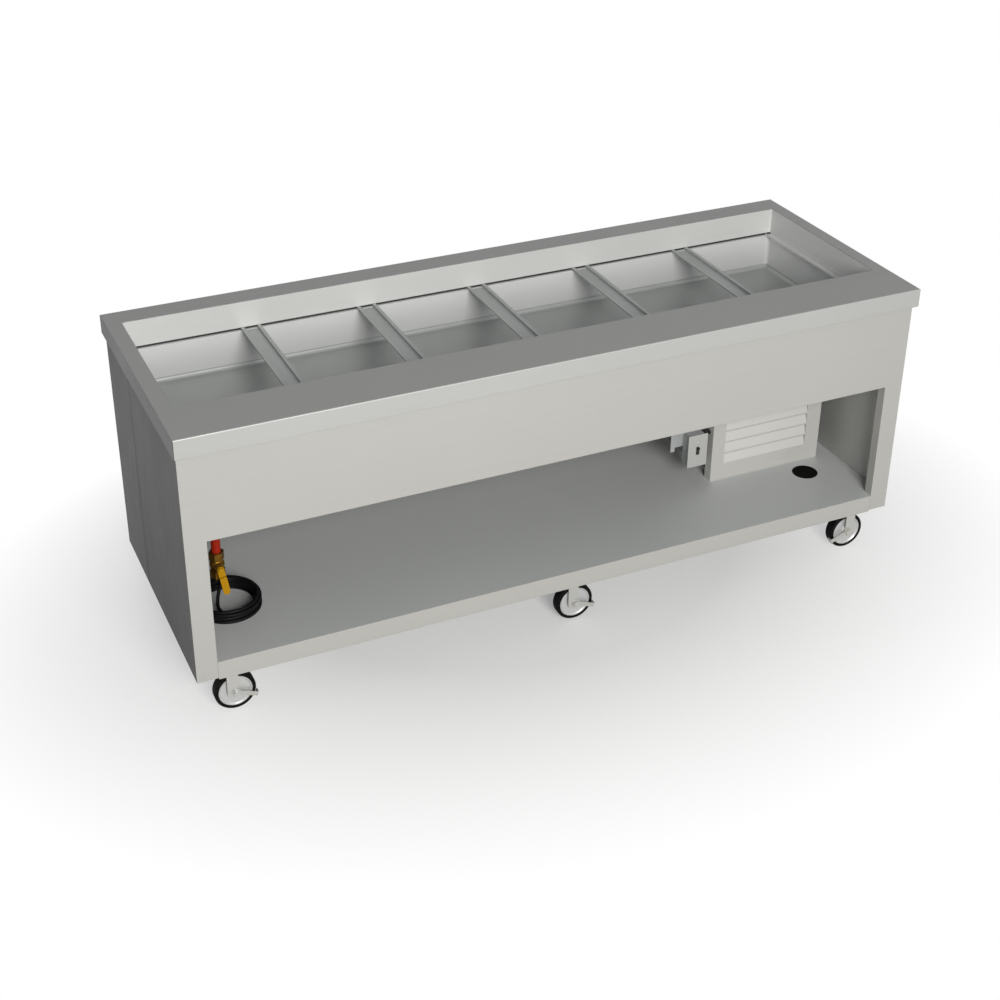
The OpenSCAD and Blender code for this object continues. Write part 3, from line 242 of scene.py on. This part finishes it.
# Plug and gland. A moulded plug with a ribbed relief, two flat blades and an earth pin,
# and at the other end a nylon gland with a hexagon nut and a tapered ribbed relief.
def finish_piece(piece, name, finish, body, turn=None, place=None,
                 smooth=35, bevel=0.0):
    """Turns and sets a piece, rounds its edges, and gives it its finish and its body."""
    piece.name = piece.data.name = name
    if turn is not None or place is not None:
        turned = Matrix.Translation(place or (0, 0, 0)) @ (turn or Matrix.Identity(4))
        piece.data.transform(piece.matrix_world)
        piece.matrix_world = Matrix.Identity(4)
        piece.data.transform(turned)
    bpy.ops.object.select_all(action="DESELECT")
    piece.select_set(True)
    bpy.context.view_layer.objects.active = piece
    bpy.ops.object.transform_apply(location=True, rotation=True, scale=True)
    if bevel:
        rounded = piece.modifiers.new("rounded", "BEVEL")
        rounded.width, rounded.segments, rounded.angle_limit = bevel, 2, math.radians(smooth)
        bpy.ops.object.modifier_apply(modifier="rounded")
    bpy.ops.object.mode_set(mode="EDIT")
    bpy.ops.mesh.select_all(action="SELECT")
    bpy.ops.mesh.remove_doubles(threshold=1e-6)
    bpy.ops.mesh.normals_make_consistent(inside=False)
    bpy.ops.object.mode_set(mode="OBJECT")
    bpy.ops.object.shade_smooth_by_angle(angle=math.radians(smooth))
    piece.data.materials.clear()
    piece.data.materials.append(finish.material)
    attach(piece, body)
    return piece


def turned_part(rings, sides=40):
    """A part turned about Z: rings are its radius and height from one end to the other."""
    bpy.ops.object.select_all(action="DESELECT")
    bpy.ops.mesh.primitive_circle_add(vertices=sides, radius=rings[0][0], fill_type="NGON",
                                      location=(0, 0, rings[0][1]))
    piece = bpy.context.object
    bpy.ops.object.mode_set(mode="EDIT")
    bpy.ops.mesh.select_all(action="SELECT")
    for (radius, height), (last_radius, last_height) in zip(rings[1:], rings):
        rise = (0, 0, height - last_height)
        bpy.ops.mesh.extrude_region_move(TRANSFORM_OT_translate={"value": rise})
        share = radius / last_radius
        bpy.ops.transform.resize(value=(share, share, 1), center_override=(0, 0, height))
    bpy.ops.object.mode_set(mode="OBJECT")
    return piece


def block(low, high):
    """A block between two corners."""
    low, high = Vector(low), Vector(high)
    bpy.ops.object.select_all(action="DESELECT")
    bpy.ops.mesh.primitive_cube_add(size=1, location=(low + high) / 2)
    bpy.context.object.scale = high - low
    bpy.ops.object.transform_apply(location=True, rotation=True, scale=True)
    return bpy.context.object


def joined(pieces):
    """Makes the pieces one, which is the first of them."""
    bpy.ops.object.select_all(action="DESELECT")
    for piece in pieces:
        piece.select_set(True)
    bpy.context.view_layer.objects.active = pieces[0]
    bpy.ops.object.join()
    return pieces[0]


def ribbed(start, end, radius_start, radius_end, ribs, depth):
    """Rings of a tapered relief whose grooves go so deep between its ribs."""
    rings = []
    for i in range(ribs):
        for share, inset in ((0.1, 0), (0.5, 0), (0.62, depth), (0.95, depth)):
            along = (i + share) / ribs
            rings.append((radius_start + (radius_end - radius_start) * along - inset,
                          start + (end - start) * along))
    return rings


to_front = Matrix.Rotation(math.pi / 2, 4, "X")
plug_rings = [(0.0052, 0)] + ribbed(0.001, 0.028, 0.0064, 0.0104, 7, 0.0011)
plug_face = 0.064
plug_rings += [(0.0104, 0.028), (0.0118, 0.031), (0.0152, 0.038), (0.0168, 0.0415),
               (0.017, 0.045), (0.0162, 0.047), (0.0162, 0.055), (0.017, 0.057),
               (0.017, 0.0625), (0.016, 0.0638), (0.0135, plug_face)]
moulding = Finish("plug_moulding", (0.004, 0.004, 0.004), roughness=0.4,
                  Specular_IOR_Level=0.25)
moulding.put(Roughness=moulding.noise(250).ramp(0.3, 0.7, 0.34, 0.5))
moulding.relief(moulding.noise(1500), 0.00005)
plug_body = finish_piece(turned_part(plug_rings, 48), "plug_body", moulding, "cabinet",
                         to_front, plug_place)
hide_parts("cord_plug")

pin_brass = Finish("pin_brass", (0.55, 0.40, 0.16), 1.0, 0.3)
pin_brass.put(Roughness=pin_brass.noise(600, stretch=(1, 0.1, 1)).ramp(0.3, 0.7, 0.22, 0.4))
blade_spacing, blade_half, blade_tall, blade_out = 0.00635, 0.00075, 0.0064, 0.017
earth_drop = 0.0064
pins = []
for side in (-blade_spacing, blade_spacing):
    pins.append(block((side - blade_half, 0, plug_face),
                      (side + blade_half, blade_tall, plug_face + blade_out)))
earth_rings = [(0.0024, plug_face), (0.0024, 0.079), (0.0021, 0.0804), (0.0012, 0.081)]
earth = turned_part(earth_rings, 24)
earth.data.transform(Matrix.Translation((0, -earth_drop, 0)))
pins.append(earth)
plug_pins = finish_piece(joined(pins), "plug_pins", pin_brass, "cabinet",
                         to_front, plug_place, bevel=0.0003)

gland_rings = [(0.0067, 0)] + ribbed(0.001, 0.03, 0.0068, 0.0098, 8, 0.0012)
gland_rings += [(0.0098, 0.0305), (0.01, 0.032), (0.01, 0.038)]
nut_rings = [(0.0108, 0.038), (0.0125, 0.039), (0.013, 0.0405), (0.013, 0.0445), (0.0125, 0.046)]
gland = finish_piece(joined([turned_part(gland_rings), turned_part(nut_rings, 6)]),
                     "gland_relief", moulding, "cabinet",
                     Matrix.Identity(4), gland_mouth)
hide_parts("cord_gland")


# Worktop, end rails and adapter bars. Stainless sheet, folded, welded and ground, then
# brushed along its length; the bars are brushed along their own length.
def brushed_steel(name, colour, along, roughness=0.45, edge=0.0012, metallic=0.25, painted_tone_above=None):
    """Brushed stainless: fine scratches along one axis, faint clouds and softened edges.
    Above a height, if one is given, it is painted darker or lighter by the share that follows:
    painted shade or painted light on the faces up there."""
    steel = Finish(name, colour, metallic, roughness)
    stretch = [1.0, 1.0, 1.0]
    stretch["xyz".index(along)] = 0.012
    fine = steel.noise(900, 2, stretch)
    coarse = steel.noise(140, 2, stretch)
    cloud = steel.noise(2.2, 3)
    marks = steel.noise(26, 4, stretch).ramp(0.62, 0.7)
    shade = fine.ramp(0.3, 0.7, -0.5, 0.5) * 0.07 + coarse.ramp(0.3, 0.7, -0.5, 0.5) * 0.06
    shade = shade + cloud.ramp(0.3, 0.7, -0.5, 0.5) * 0.05 + 0.5
    darker = tuple(c * 0.86 for c in colour)
    lighter = tuple(min(1, c * 1.14) for c in colour)
    surface = steel.tint(shade, lighter, (*darker, 1))
    if painted_tone_above:
        # Painted shade or painted light: above the height the colour is mixed with black or with
        # white.
        height, share = painted_tone_above
        high = steel.axis("Z").ramp(height - 0.0005, height + 0.0005) * abs(share - 1)
        surface = steel.tint(high, (0, 0, 0) if share < 1 else (1, 1, 1), surface)
    steel.surface = surface
    steel.put(Base_Color=surface,
              Roughness=fine.ramp(0.3, 0.7, roughness - 0.05, roughness + 0.06) + marks * 0.06
              + cloud.ramp(0.3, 0.7, -0.03, 0.03))
    steel.relief(fine, 0.00002, edge)
    return steel


def dress(finish, *nodes):
    """Gives CAD nodes that keep their shape a finish."""
    for node in nodes:
        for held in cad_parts[node].material_slots:
            held.material = finish.material


top_face, rim_y, rim_x, left_lip = 0.9128, 0.36, 1.12, -1.1415
# Painted shade: the worktop's upper face is darkened to 0.66 of its colour, for the darker room it
# mirrors.
worktop_steel = brushed_steel("worktop_steel", (0.345, 0.35, 0.34), "x", painted_tone_above=(top_face, 0.66))
below = worktop_steel.axis("Z").ramp(top_face - 0.001, top_face, 1.0, 0.0)
# Painted light: the rim walls round the well opening, under the top face, are mixed 30% with
# white.
rim_light_y = worktop_steel.axis("Y").away().ramp(rim_y, rim_y + 0.02, 0.3, 0.0)
rim_light_x = worktop_steel.axis("X").away().ramp(rim_x, rim_x + 0.01, 1.0, 0.0)
# Painted shade: the left end face of the lip, under the top face, is mixed 85% with black.
left = worktop_steel.axis("X").ramp(left_lip, left_lip + 0.001, 0.85, 0.0)
surface = worktop_steel.tint(rim_light_y * rim_light_x * below, (1, 1, 1), worktop_steel.surface)
worktop_steel.put(Base_Color=worktop_steel.tint(left * below, (0, 0, 0), surface))
dress(worktop_steel, "countertop", "end_rails")
bar_steel = brushed_steel("bar_steel", (0.31, 0.325, 0.315), "y")
dress(bar_steel, *[f"adapter_bar_{i}" for i in range(1, 6)])


# Cold well. A deep-drawn stainless liner on a black plastic breaker strip, with foam and
# copper tube between it and a galvanised outer shell.
# Painted light: the liner's walls above 0.722 m, over its floor, are mixed 32% with white.
liner_steel = brushed_steel("liner_steel", (0.33, 0.34, 0.335), "x", painted_tone_above=(0.722, 1.32))
dress(liner_steel, "well_liner", "drain_strainer")
breaker = Finish("breaker_plastic", (0.02, 0.02, 0.02), roughness=0.5, Specular_IOR_Level=0.3)
breaker.put(Roughness=breaker.noise(400).ramp(0.3, 0.7, 0.44, 0.6))
breaker.relief(breaker.noise(1200, 3), 0.00008, 0.0005)
dress(breaker, "thermal_break")
foam = Finish("foam", (0.80, 0.72, 0.45), roughness=0.85)
cells = foam.node("TexVoronoi", {"Vector": foam.place(), "Scale": 350.0})
foam.put(Base_Color=foam.tint(foam.noise(12, 3).ramp(0.4, 0.7) * 0.5, (0.62, 0.50, 0.27)))
foam.relief(cells, 0.0008)
dress(foam, "well_insulation")
copper = Finish("copper", (0.72, 0.38, 0.24), 1.0, 0.28)
browned = copper.noise(45, 4).ramp(0.45, 0.7)
copper.put(Base_Color=copper.tint(browned * 0.7, (0.25, 0.11, 0.06)),
           Roughness=browned * 0.22 + 0.28)
copper.relief(copper.noise(700, 3), 0.00004)
dress(copper, "cooling_tube", "refrigerant_lines")


def galvanised_sheet(name, colour):
    """Galvanised sheet with the spangle of its zinc."""
    zinc = Finish(name, colour, 0.25, 0.5)
    spangle = zinc.node("TexVoronoi", {"Vector": zinc.place(), "Scale": 90.0}, output="Color")
    grain = zinc.node("SeparateColor", {0: spangle})
    zinc.put(Base_Color=zinc.tint(grain.ramp(0, 1, 0.0, 0.5), tuple(c * 0.72 for c in colour)),
             Roughness=grain.ramp(0, 1, 0.36, 0.55))
    zinc.relief(zinc.noise(220, 3), 0.00006, 0.0008)
    return zinc


galvanised = galvanised_sheet("galvanised", (0.34, 0.355, 0.355))
dress(galvanised, "well_shell", "caster_mounts", "unit_frame", "control_bracket",
      "electrical_boxes")


# Cabinet. One brushed stainless sheet makes the apron and both posts; the end and back
# panels are double-skinned, and the bottom shelf is turned down at the front and back.
panel_steel = brushed_steel("panel_steel", (0.35, 0.345, 0.33), "x")
dress(panel_steel, "front_fascia")
# Painted dark reflection: the outer face of the left end panel is coloured nearly black (0.045)
# for the darker room the sheet mirrors; the faces behind it get the usual steel tone.
end_steel = brushed_steel("end_steel", (0.045, 0.045, 0.044), "z")
outer_face = -1.1348
behind = end_steel.axis("X").ramp(outer_face, outer_face + 0.0006)
end_steel.put(Specular_IOR_Level=0.1,
              Base_Color=end_steel.tint(behind, (0.33, 0.33, 0.32), end_steel.surface))
dress(end_steel, "left_end_panel")
inner_steel = brushed_steel("inner_steel", (0.34, 0.34, 0.33), "z")
dress(inner_steel, "right_end_panel")
back_steel = brushed_steel("back_steel", (0.33, 0.33, 0.32), "x")
dress(back_steel, "back_panel")
# Painted light and shade: the shelf's upper face is mixed 22% with white, and the front face of
# its lip gets the warmer tone of the lit front against the bluish shaded tone of the rest.
shelf_steel = brushed_steel("shelf_steel", (0.33, 0.348, 0.346), "x", painted_tone_above=(0.1965, 1.22))
shelf_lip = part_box("bottom_shelf")[0].y
lit_lip_tone = shelf_steel.axis("Y").ramp(shelf_lip + 0.0005, shelf_lip + 0.001, 0.9, 0.0)
shelf_steel.put(Base_Color=shelf_steel.tint(lit_lip_tone, (0.365, 0.355, 0.335), shelf_steel.surface))
dress(shelf_steel, "bottom_shelf")


# Louvred cover. A folded sheet with five louvres pressed into it: each leans back from
# its foot to an open top edge, so that air goes in behind it, and has closed ends.
def carved(piece, tool):
    """Cuts one piece away from another."""
    change = piece.modifiers.new("carve", "BOOLEAN")
    change.operation, change.object, change.solver = "DIFFERENCE", tool, "EXACT"
    bpy.ops.object.select_all(action="DESELECT")
    piece.select_set(True)
    bpy.context.view_layer.objects.active = piece
    bpy.ops.object.modifier_apply(modifier="carve")
    bpy.data.objects.remove(tool)
    return piece


def leaning_block(low, high, foot):
    """A block whose back face leans forward to so many metres' depth at its foot."""
    piece = block(low, high)
    middle = (Vector(low) + Vector(high)) / 2
    for vertex in piece.data.vertices:
        vertex.select = vertex.co.y > middle.y and vertex.co.z < middle.z
    for edge in piece.data.edges:
        edge.select = all(piece.data.vertices[i].select for i in edge.vertices)
    for face in piece.data.polygons:
        face.select = False
    bpy.ops.object.mode_set(mode="EDIT")
    bpy.ops.transform.translate(value=(0, low[1] + foot - high[1], 0))
    bpy.ops.object.mode_set(mode="OBJECT")
    return piece


cover_low, cover_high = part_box("louvre_cover")
cover_front = -0.1055
sheet = 0.0015
louvre_count, louvre_pitch, louvre_height, louvre_depth = 5, 0.040, 0.035, 0.014
louvre_left, louvre_right = cover_low.x + 0.046, cover_low.x + 0.355
louvre_low = cover_low.z + 0.058
cover = block((cover_low.x, cover_front, cover_low.z), cover_high)
carved(cover, block((cover_low.x + sheet, cover_front + sheet, cover_low.z - sheet),
                    (cover_high.x - sheet, cover_high.y + sheet, cover_high.z - sheet)))
louvres = []
for i in range(louvre_count):
    foot = louvre_low + i * louvre_pitch
    carved(cover, block((louvre_left, cover_front - sheet, foot),
                        (louvre_right, cover_front + 2 * sheet, foot + louvre_height)))
    louvre = leaning_block(
        (louvre_left - sheet, cover_front + sheet / 4, foot - sheet),
        (louvre_right + sheet, cover_front + louvre_depth, foot + louvre_height), sheet)
    hollow = leaning_block(
        (louvre_left - sheet / 8, cover_front - sheet, foot),
        (louvre_right + sheet / 8, cover_front + louvre_depth - sheet,
         foot + louvre_height + sheet), sheet * 1.3)
    louvres.append(carved(louvre, hollow))
cover_steel = brushed_steel("cover_steel", (0.36, 0.355, 0.34), "x", roughness=0.62,
                            metallic=0.08)
# Painted light: the recessed louvre slats, behind the sheet's front face, are mixed 10% with
# white, as lit faces leaning up to the lamp.
pressed = cover_steel.axis("Y").ramp(cover_front + 0.0003, cover_front + 0.0006) * 0.10
cover_steel.put(Base_Color=cover_steel.tint(pressed, (1, 1, 1), cover_steel.surface))
finish_piece(joined([cover, *louvres]), "pressed_cover", cover_steel, "cabinet")
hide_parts("louvre_cover")


# Grommet. A moulded black rubber grommet, closed by a thin web, snaps into the shelf.
rubber = Finish("black_rubber", (0.002, 0.002, 0.002), roughness=0.6, Specular_IOR_Level=0.04)
dust = rubber.noise(40, 4).ramp(0.55, 0.8) * 0.4
rubber.put(Base_Color=rubber.tint(dust, (0.010, 0.010, 0.009)),
           Roughness=rubber.noise(200).ramp(0.3, 0.7, 0.52, 0.7))
rubber.relief(rubber.noise(1300, 3), 0.00008)
hole_low, hole_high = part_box("shelf_grommet")
hole_middle = (hole_low + hole_high) / 2
shelf_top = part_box("bottom_shelf")[1].z
grommet_rings = [(0.030, -0.0016), (0.0385, -0.0032), (0.0408, -0.0028), (0.0408, -0.0016),
                 (0.038, -0.0015), (0.038, 0), (0.0408, 0), (0.0412, 0.0006), (0.0406, 0.0013),
                 (0.039, 0.0015), (0.035, 0.0014), (0.0335, 0.0008), (0.0325, 0.0001), (0.0315, 0)]
grommet = finish_piece(turned_part(grommet_rings, 72), "grommet", rubber, "cabinet",
                       Matrix.Identity(4),
                       Vector((hole_middle.x, hole_middle.y, shelf_top)), smooth=50)
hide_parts("shelf_grommet")


# Drain. A red-wrapped pipe comes down from the well into a cast brass ball valve, whose
# stamped lever hangs beside it and wears a yellow coating.
red_pipe = Finish("pipe_red", (0.22, 0.011, 0.003), roughness=0.45, Specular_IOR_Level=0.12)
wrap = red_pipe.node("TexWave", {"Vector": red_pipe.place(), "Scale": 12.0, "Distortion": 0.6},
                     output="Fac", wave_type="BANDS", bands_direction="Z")
faded = red_pipe.noise(60, 3).ramp(0.5, 0.75) * 0.4
red_pipe.put(Base_Color=red_pipe.tint(faded, (0.15, 0.01, 0.005)),
             Roughness=wrap.ramp(0, 1, 0.36, 0.5))
red_pipe.relief(wrap, 0.0004)
dress(red_pipe, "drain_pipe")
brass = Finish("valve_brass", (0.19, 0.095, 0.010), 0.85, 0.42)
tarnish = brass.noise(70, 4).ramp(0.42, 0.68)
brass.put(Base_Color=brass.tint(tarnish * 0.8, (0.05, 0.025, 0.004)),
          Roughness=tarnish * 0.2 + 0.36)
brass.relief(brass.noise(800, 3), 0.00025, 0.0012)
dress(brass, "drain_valve")
yellow = Finish("lever_yellow", (0.31, 0.16, 0.002), roughness=0.42, Specular_IOR_Level=0.1)
chipped = yellow.noise(120, 4).ramp(0.66, 0.7)
yellow.put(Base_Color=yellow.tint(chipped, (0.18, 0.10, 0.01)), Roughness=chipped * 0.2 + 0.4)
yellow.relief(yellow.noise(500, 3), 0.00012, 0.0008)
dress(yellow, "drain_lever")


# Condensing unit. A hermetic compressor, a finned condenser with its fan and motor, and
# the copper lines stand on a galvanised tray behind the louvred cover.
enamel = Finish("black_paint", (0.014, 0.014, 0.015), roughness=0.32, Coat_Weight=0.3)
dust = enamel.noise(30, 4).ramp(0.5, 0.75) * 0.5
enamel.put(Base_Color=enamel.tint(dust, (0.04, 0.04, 0.042)),
           Roughness=enamel.noise(150, 3).ramp(0.3, 0.7, 0.28, 0.45))
enamel.relief(enamel.noise(500, 2), 0.00012, 0.001)
dress(enamel, "compressor", "fan_motor")
fins = Finish("fin_aluminium", (0.55, 0.56, 0.57), 0.9, 0.4)
fin_bands_and_gap_shade = fins.node("TexWave", {"Vector": fins.place(), "Scale": 90.0, "Distortion": 0.0},
                      output="Fac", wave_type="BANDS", bands_direction="X")
# Painted shade: dark bands between the fins stand in for the shaded gaps between them; the same
# bands set roughness and bump.
fins.put(Base_Color=fins.tint(fin_bands_and_gap_shade.ramp(0.2, 0.6, 0.8, 0.0), (0.08, 0.08, 0.085)),
         Roughness=fin_bands_and_gap_shade.ramp(0, 1, 0.6, 0.35))
fins.relief(fin_bands_and_gap_shade, 0.0012)
dress(fins, "condenser_coil")
blade_steel = galvanised_sheet("blade_steel", (0.50, 0.51, 0.52))
dress(blade_steel, "fan_blade")


# Controls. A steel plate with a black rocker covers the switch box; a black conduit runs
# from the junction box under the well to that box, and a short one on to the cover.
plate_steel = brushed_steel("plate_steel", (0.36, 0.36, 0.35), "z", 0.4)
dress(plate_steel, "switch_plate")
gloss_black = Finish("rocker_plastic", (0.012, 0.012, 0.012), roughness=0.25)
gloss_black.put(Roughness=gloss_black.noise(300).ramp(0.3, 0.7, 0.2, 0.34))
gloss_black.relief(gloss_black.noise(900), 0.00003, 0.0006)
dress(gloss_black, "switch_rocker")
conduit = Finish("conduit_plastic", (0.004, 0.004, 0.004), roughness=0.45,
                 Specular_IOR_Level=0.25)
conduit.put(Roughness=conduit.noise(200).ramp(0.3, 0.7, 0.4, 0.55))
rib_turn = (conduit.axis("X") + conduit.axis("Y") + conduit.axis("Z")) * 900
conduit.relief(rib_turn.maths("SINE", rib_turn), 0.0006)
dress(conduit, "flex_conduit")


# Casters. Pressed forks and wheel discs, bright zinc plated, with moulded black tyres;
# the three along the open side have a toe lever that brakes the wheel.
def zinc_plate(name, colour, roughness):
    """Bright zinc plating with a faint yellow and blue cast and dulled patches."""
    plate = Finish(name, colour, 0.45, roughness)
    cast = plate.noise(28, 3).ramp(0.35, 0.65)
    dull = plate.noise(90, 4).ramp(0.55, 0.75)
    yellowed = tuple(c * share for c, share in zip(colour, (1.04, 1.0, 0.9)))
    plate.put(Base_Color=plate.tint(cast * 0.5, yellowed), Roughness=dull * 0.18 + roughness)
    plate.relief(plate.noise(600, 2), 0.00005, 0.001)
    return plate


fork_zinc = zinc_plate("caster_steel", (0.42, 0.42, 0.41), 0.32)
wheel_zinc = zinc_plate("wheel_steel", (0.44, 0.445, 0.46), 0.36)
brake_zinc = zinc_plate("brake_steel", (0.40, 0.40, 0.39), 0.36)
tyre_rubber = Finish("tyre", (0.003, 0.003, 0.003), roughness=0.62, Specular_IOR_Level=0.06)
dust = tyre_rubber.noise(55, 4).ramp(0.5, 0.8) * 0.5
tyre_rubber.put(Base_Color=tyre_rubber.tint(dust, (0.014, 0.013, 0.012)),
                Roughness=tyre_rubber.noise(180).ramp(0.3, 0.7, 0.55, 0.72))
tyre_rubber.relief(tyre_rubber.noise(900, 3), 0.0001)
for i in range(1, 7):
    dress(fork_zinc, f"caster_fork_{i}")
    dress(wheel_zinc, f"caster_wheel_{i}")
    dress(tyre_rubber, f"caster_tyre_{i}")
for i in range(1, 4):
    dress(brake_zinc, f"brake_lever_{i}")


# Fasteners. Four hexagon bolts on washers hold each caster plate up to its channel, and
# two slotted oval-head screws hold the switch plate on its box.
bolt_zinc = zinc_plate("bolt_zinc", (0.40, 0.40, 0.38), 0.34)
plate_under = 0.152
caster_x, caster_y, hole_x, hole_y = 1.060, 0.3395, 0.038, 0.024
head_rings = [(0.0064, 0.0015), (0.0072, 0.0019), (0.0072, 0.0062), (0.0062, 0.0068)]
washer_rings = [(0.0077, 0), (0.008, 0.0003), (0.008, 0.0013), (0.0077, 0.0016)]
upside_down = Matrix.Rotation(math.pi, 4, "X")
bolts = []
places = [(x + across, y + along) for x in (-caster_x, 0, caster_x) for y in (-caster_y, caster_y)
          for across in (-hole_x, hole_x) for along in (-hole_y, hole_y)]
for x, y in places:
    bolt = joined([turned_part(head_rings, 6), turned_part(washer_rings, 28)])
    bolt.data.transform(Matrix.Translation((x, y, plate_under)) @ upside_down)
    bolts.append(bolt)
finish_piece(joined(bolts), "caster_bolts", bolt_zinc, "cabinet", bevel=0.0003)

switch_low, switch_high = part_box("switch_plate")
switch_middle = (switch_low + switch_high) / 2
screw_spacing = 0.0302
screw_rings = [(0.0036, 0), (0.0035, 0.0004), (0.0028, 0.0011), (0.0015, 0.0015)]
screws = []
for z in (-screw_spacing, screw_spacing):
    screw = turned_part(screw_rings, 28)
    carved(screw, block((-0.0045, -0.0004, 0.0007), (0.0045, 0.0004, 0.004)))
    set_at = Matrix.Translation((switch_middle.x, switch_low.y, switch_middle.z + z))
    screw.data.transform(set_at @ to_front)
    screws.append(screw)
finish_piece(joined(screws), "plate_screws", bolt_zinc, "cabinet")


# Floor and light. A pale floor that fades to white round the object's shadow, one large
# soft lamp at the front and a dim room, so that the front is lighter than the top.
bpy.ops.object.select_all(action="DESELECT")
bpy.ops.mesh.primitive_plane_add(size=40, location=(0, 0, 0))
floor = bpy.context.object
floor.name = "floor"
ground = Finish("floor", (0.55, 0.56, 0.545), roughness=0.9)
ground.put(Base_Color=ground.tint(ground.noise(60, 4), (0.59, 0.60, 0.585)))
oval = (0.55, 0.75, 0)
fade_start, fade_end = 0.4, 1.0
away = ground.node("VectorMath", {0: ground.place(), 1: oval}, operation="MULTIPLY")
reach = ground.node("VectorMath", {0: away}, output="Value", operation="LENGTH")
seen = ground.node("LightPath", output="Is Camera Ray")
for other in ("Is Glossy Ray", "Is Transmission Ray"):
    seen = seen + ground.node("LightPath", output=other)
fade = reach.ramp(fade_start, fade_end, 0.28, 1.0) * seen
white = ground.node("Emission", {"Color": (1, 1, 1, 1), "Strength": 1.0})
matt = Signal(ground, ground.shader.outputs[0])
mixed = ground.node("MixShader", {0: fade, 1: matt, 2: white})
ground.tree.links.new(mixed.socket, ground.tree.nodes["Material Output"].inputs["Surface"])
floor.data.materials.append(ground.material)


lamp_place, lamp_aim = Vector((-0.8, -5.8, 3.1)), Vector((0, 0, 0.5))
front_lamp = bpy.data.lights.new("front_lamp", "AREA")
front_lamp.shape, front_lamp.size = "SQUARE", 2.4
front_lamp.energy, front_lamp.color = 490, (1, 0.985, 0.955)
lamp = bpy.data.objects.new("front_lamp", front_lamp)
lamp.location = lamp_place
lamp.rotation_euler = (lamp_place - lamp_aim).to_track_quat("Z", "Y").to_euler()
bpy.context.scene.collection.objects.link(lamp)

room = bpy.data.worlds.new("room")
bpy.context.scene.world = room
room.use_nodes = True
sky = room.node_tree


def background(colour, strength):
    """A light of one colour for the room."""
    light = sky.nodes.new("ShaderNodeBackground")
    light.inputs["Color"].default_value = (*colour, 1)
    light.inputs["Strength"].default_value = strength
    return light.outputs[0]


path = sky.nodes.new("ShaderNodeLightPath")
looked_at = path.outputs["Is Camera Ray"]
for other in ("Is Glossy Ray", "Is Transmission Ray"):
    either = sky.nodes.new("ShaderNodeMath")
    sky.links.new(looked_at, either.inputs[0])
    sky.links.new(path.outputs[other], either.inputs[1])
    looked_at = either.outputs[0]
switch = sky.nodes.new("ShaderNodeMixShader")
sky.links.new(looked_at, switch.inputs[0])
sky.links.new(background((0.92, 0.97, 1.0), 0.25), switch.inputs[1])
sky.links.new(background((1, 1, 1), 1.0), switch.inputs[2])
sky.links.new(switch.outputs[0], sky.nodes["World Output"].inputs["Surface"])
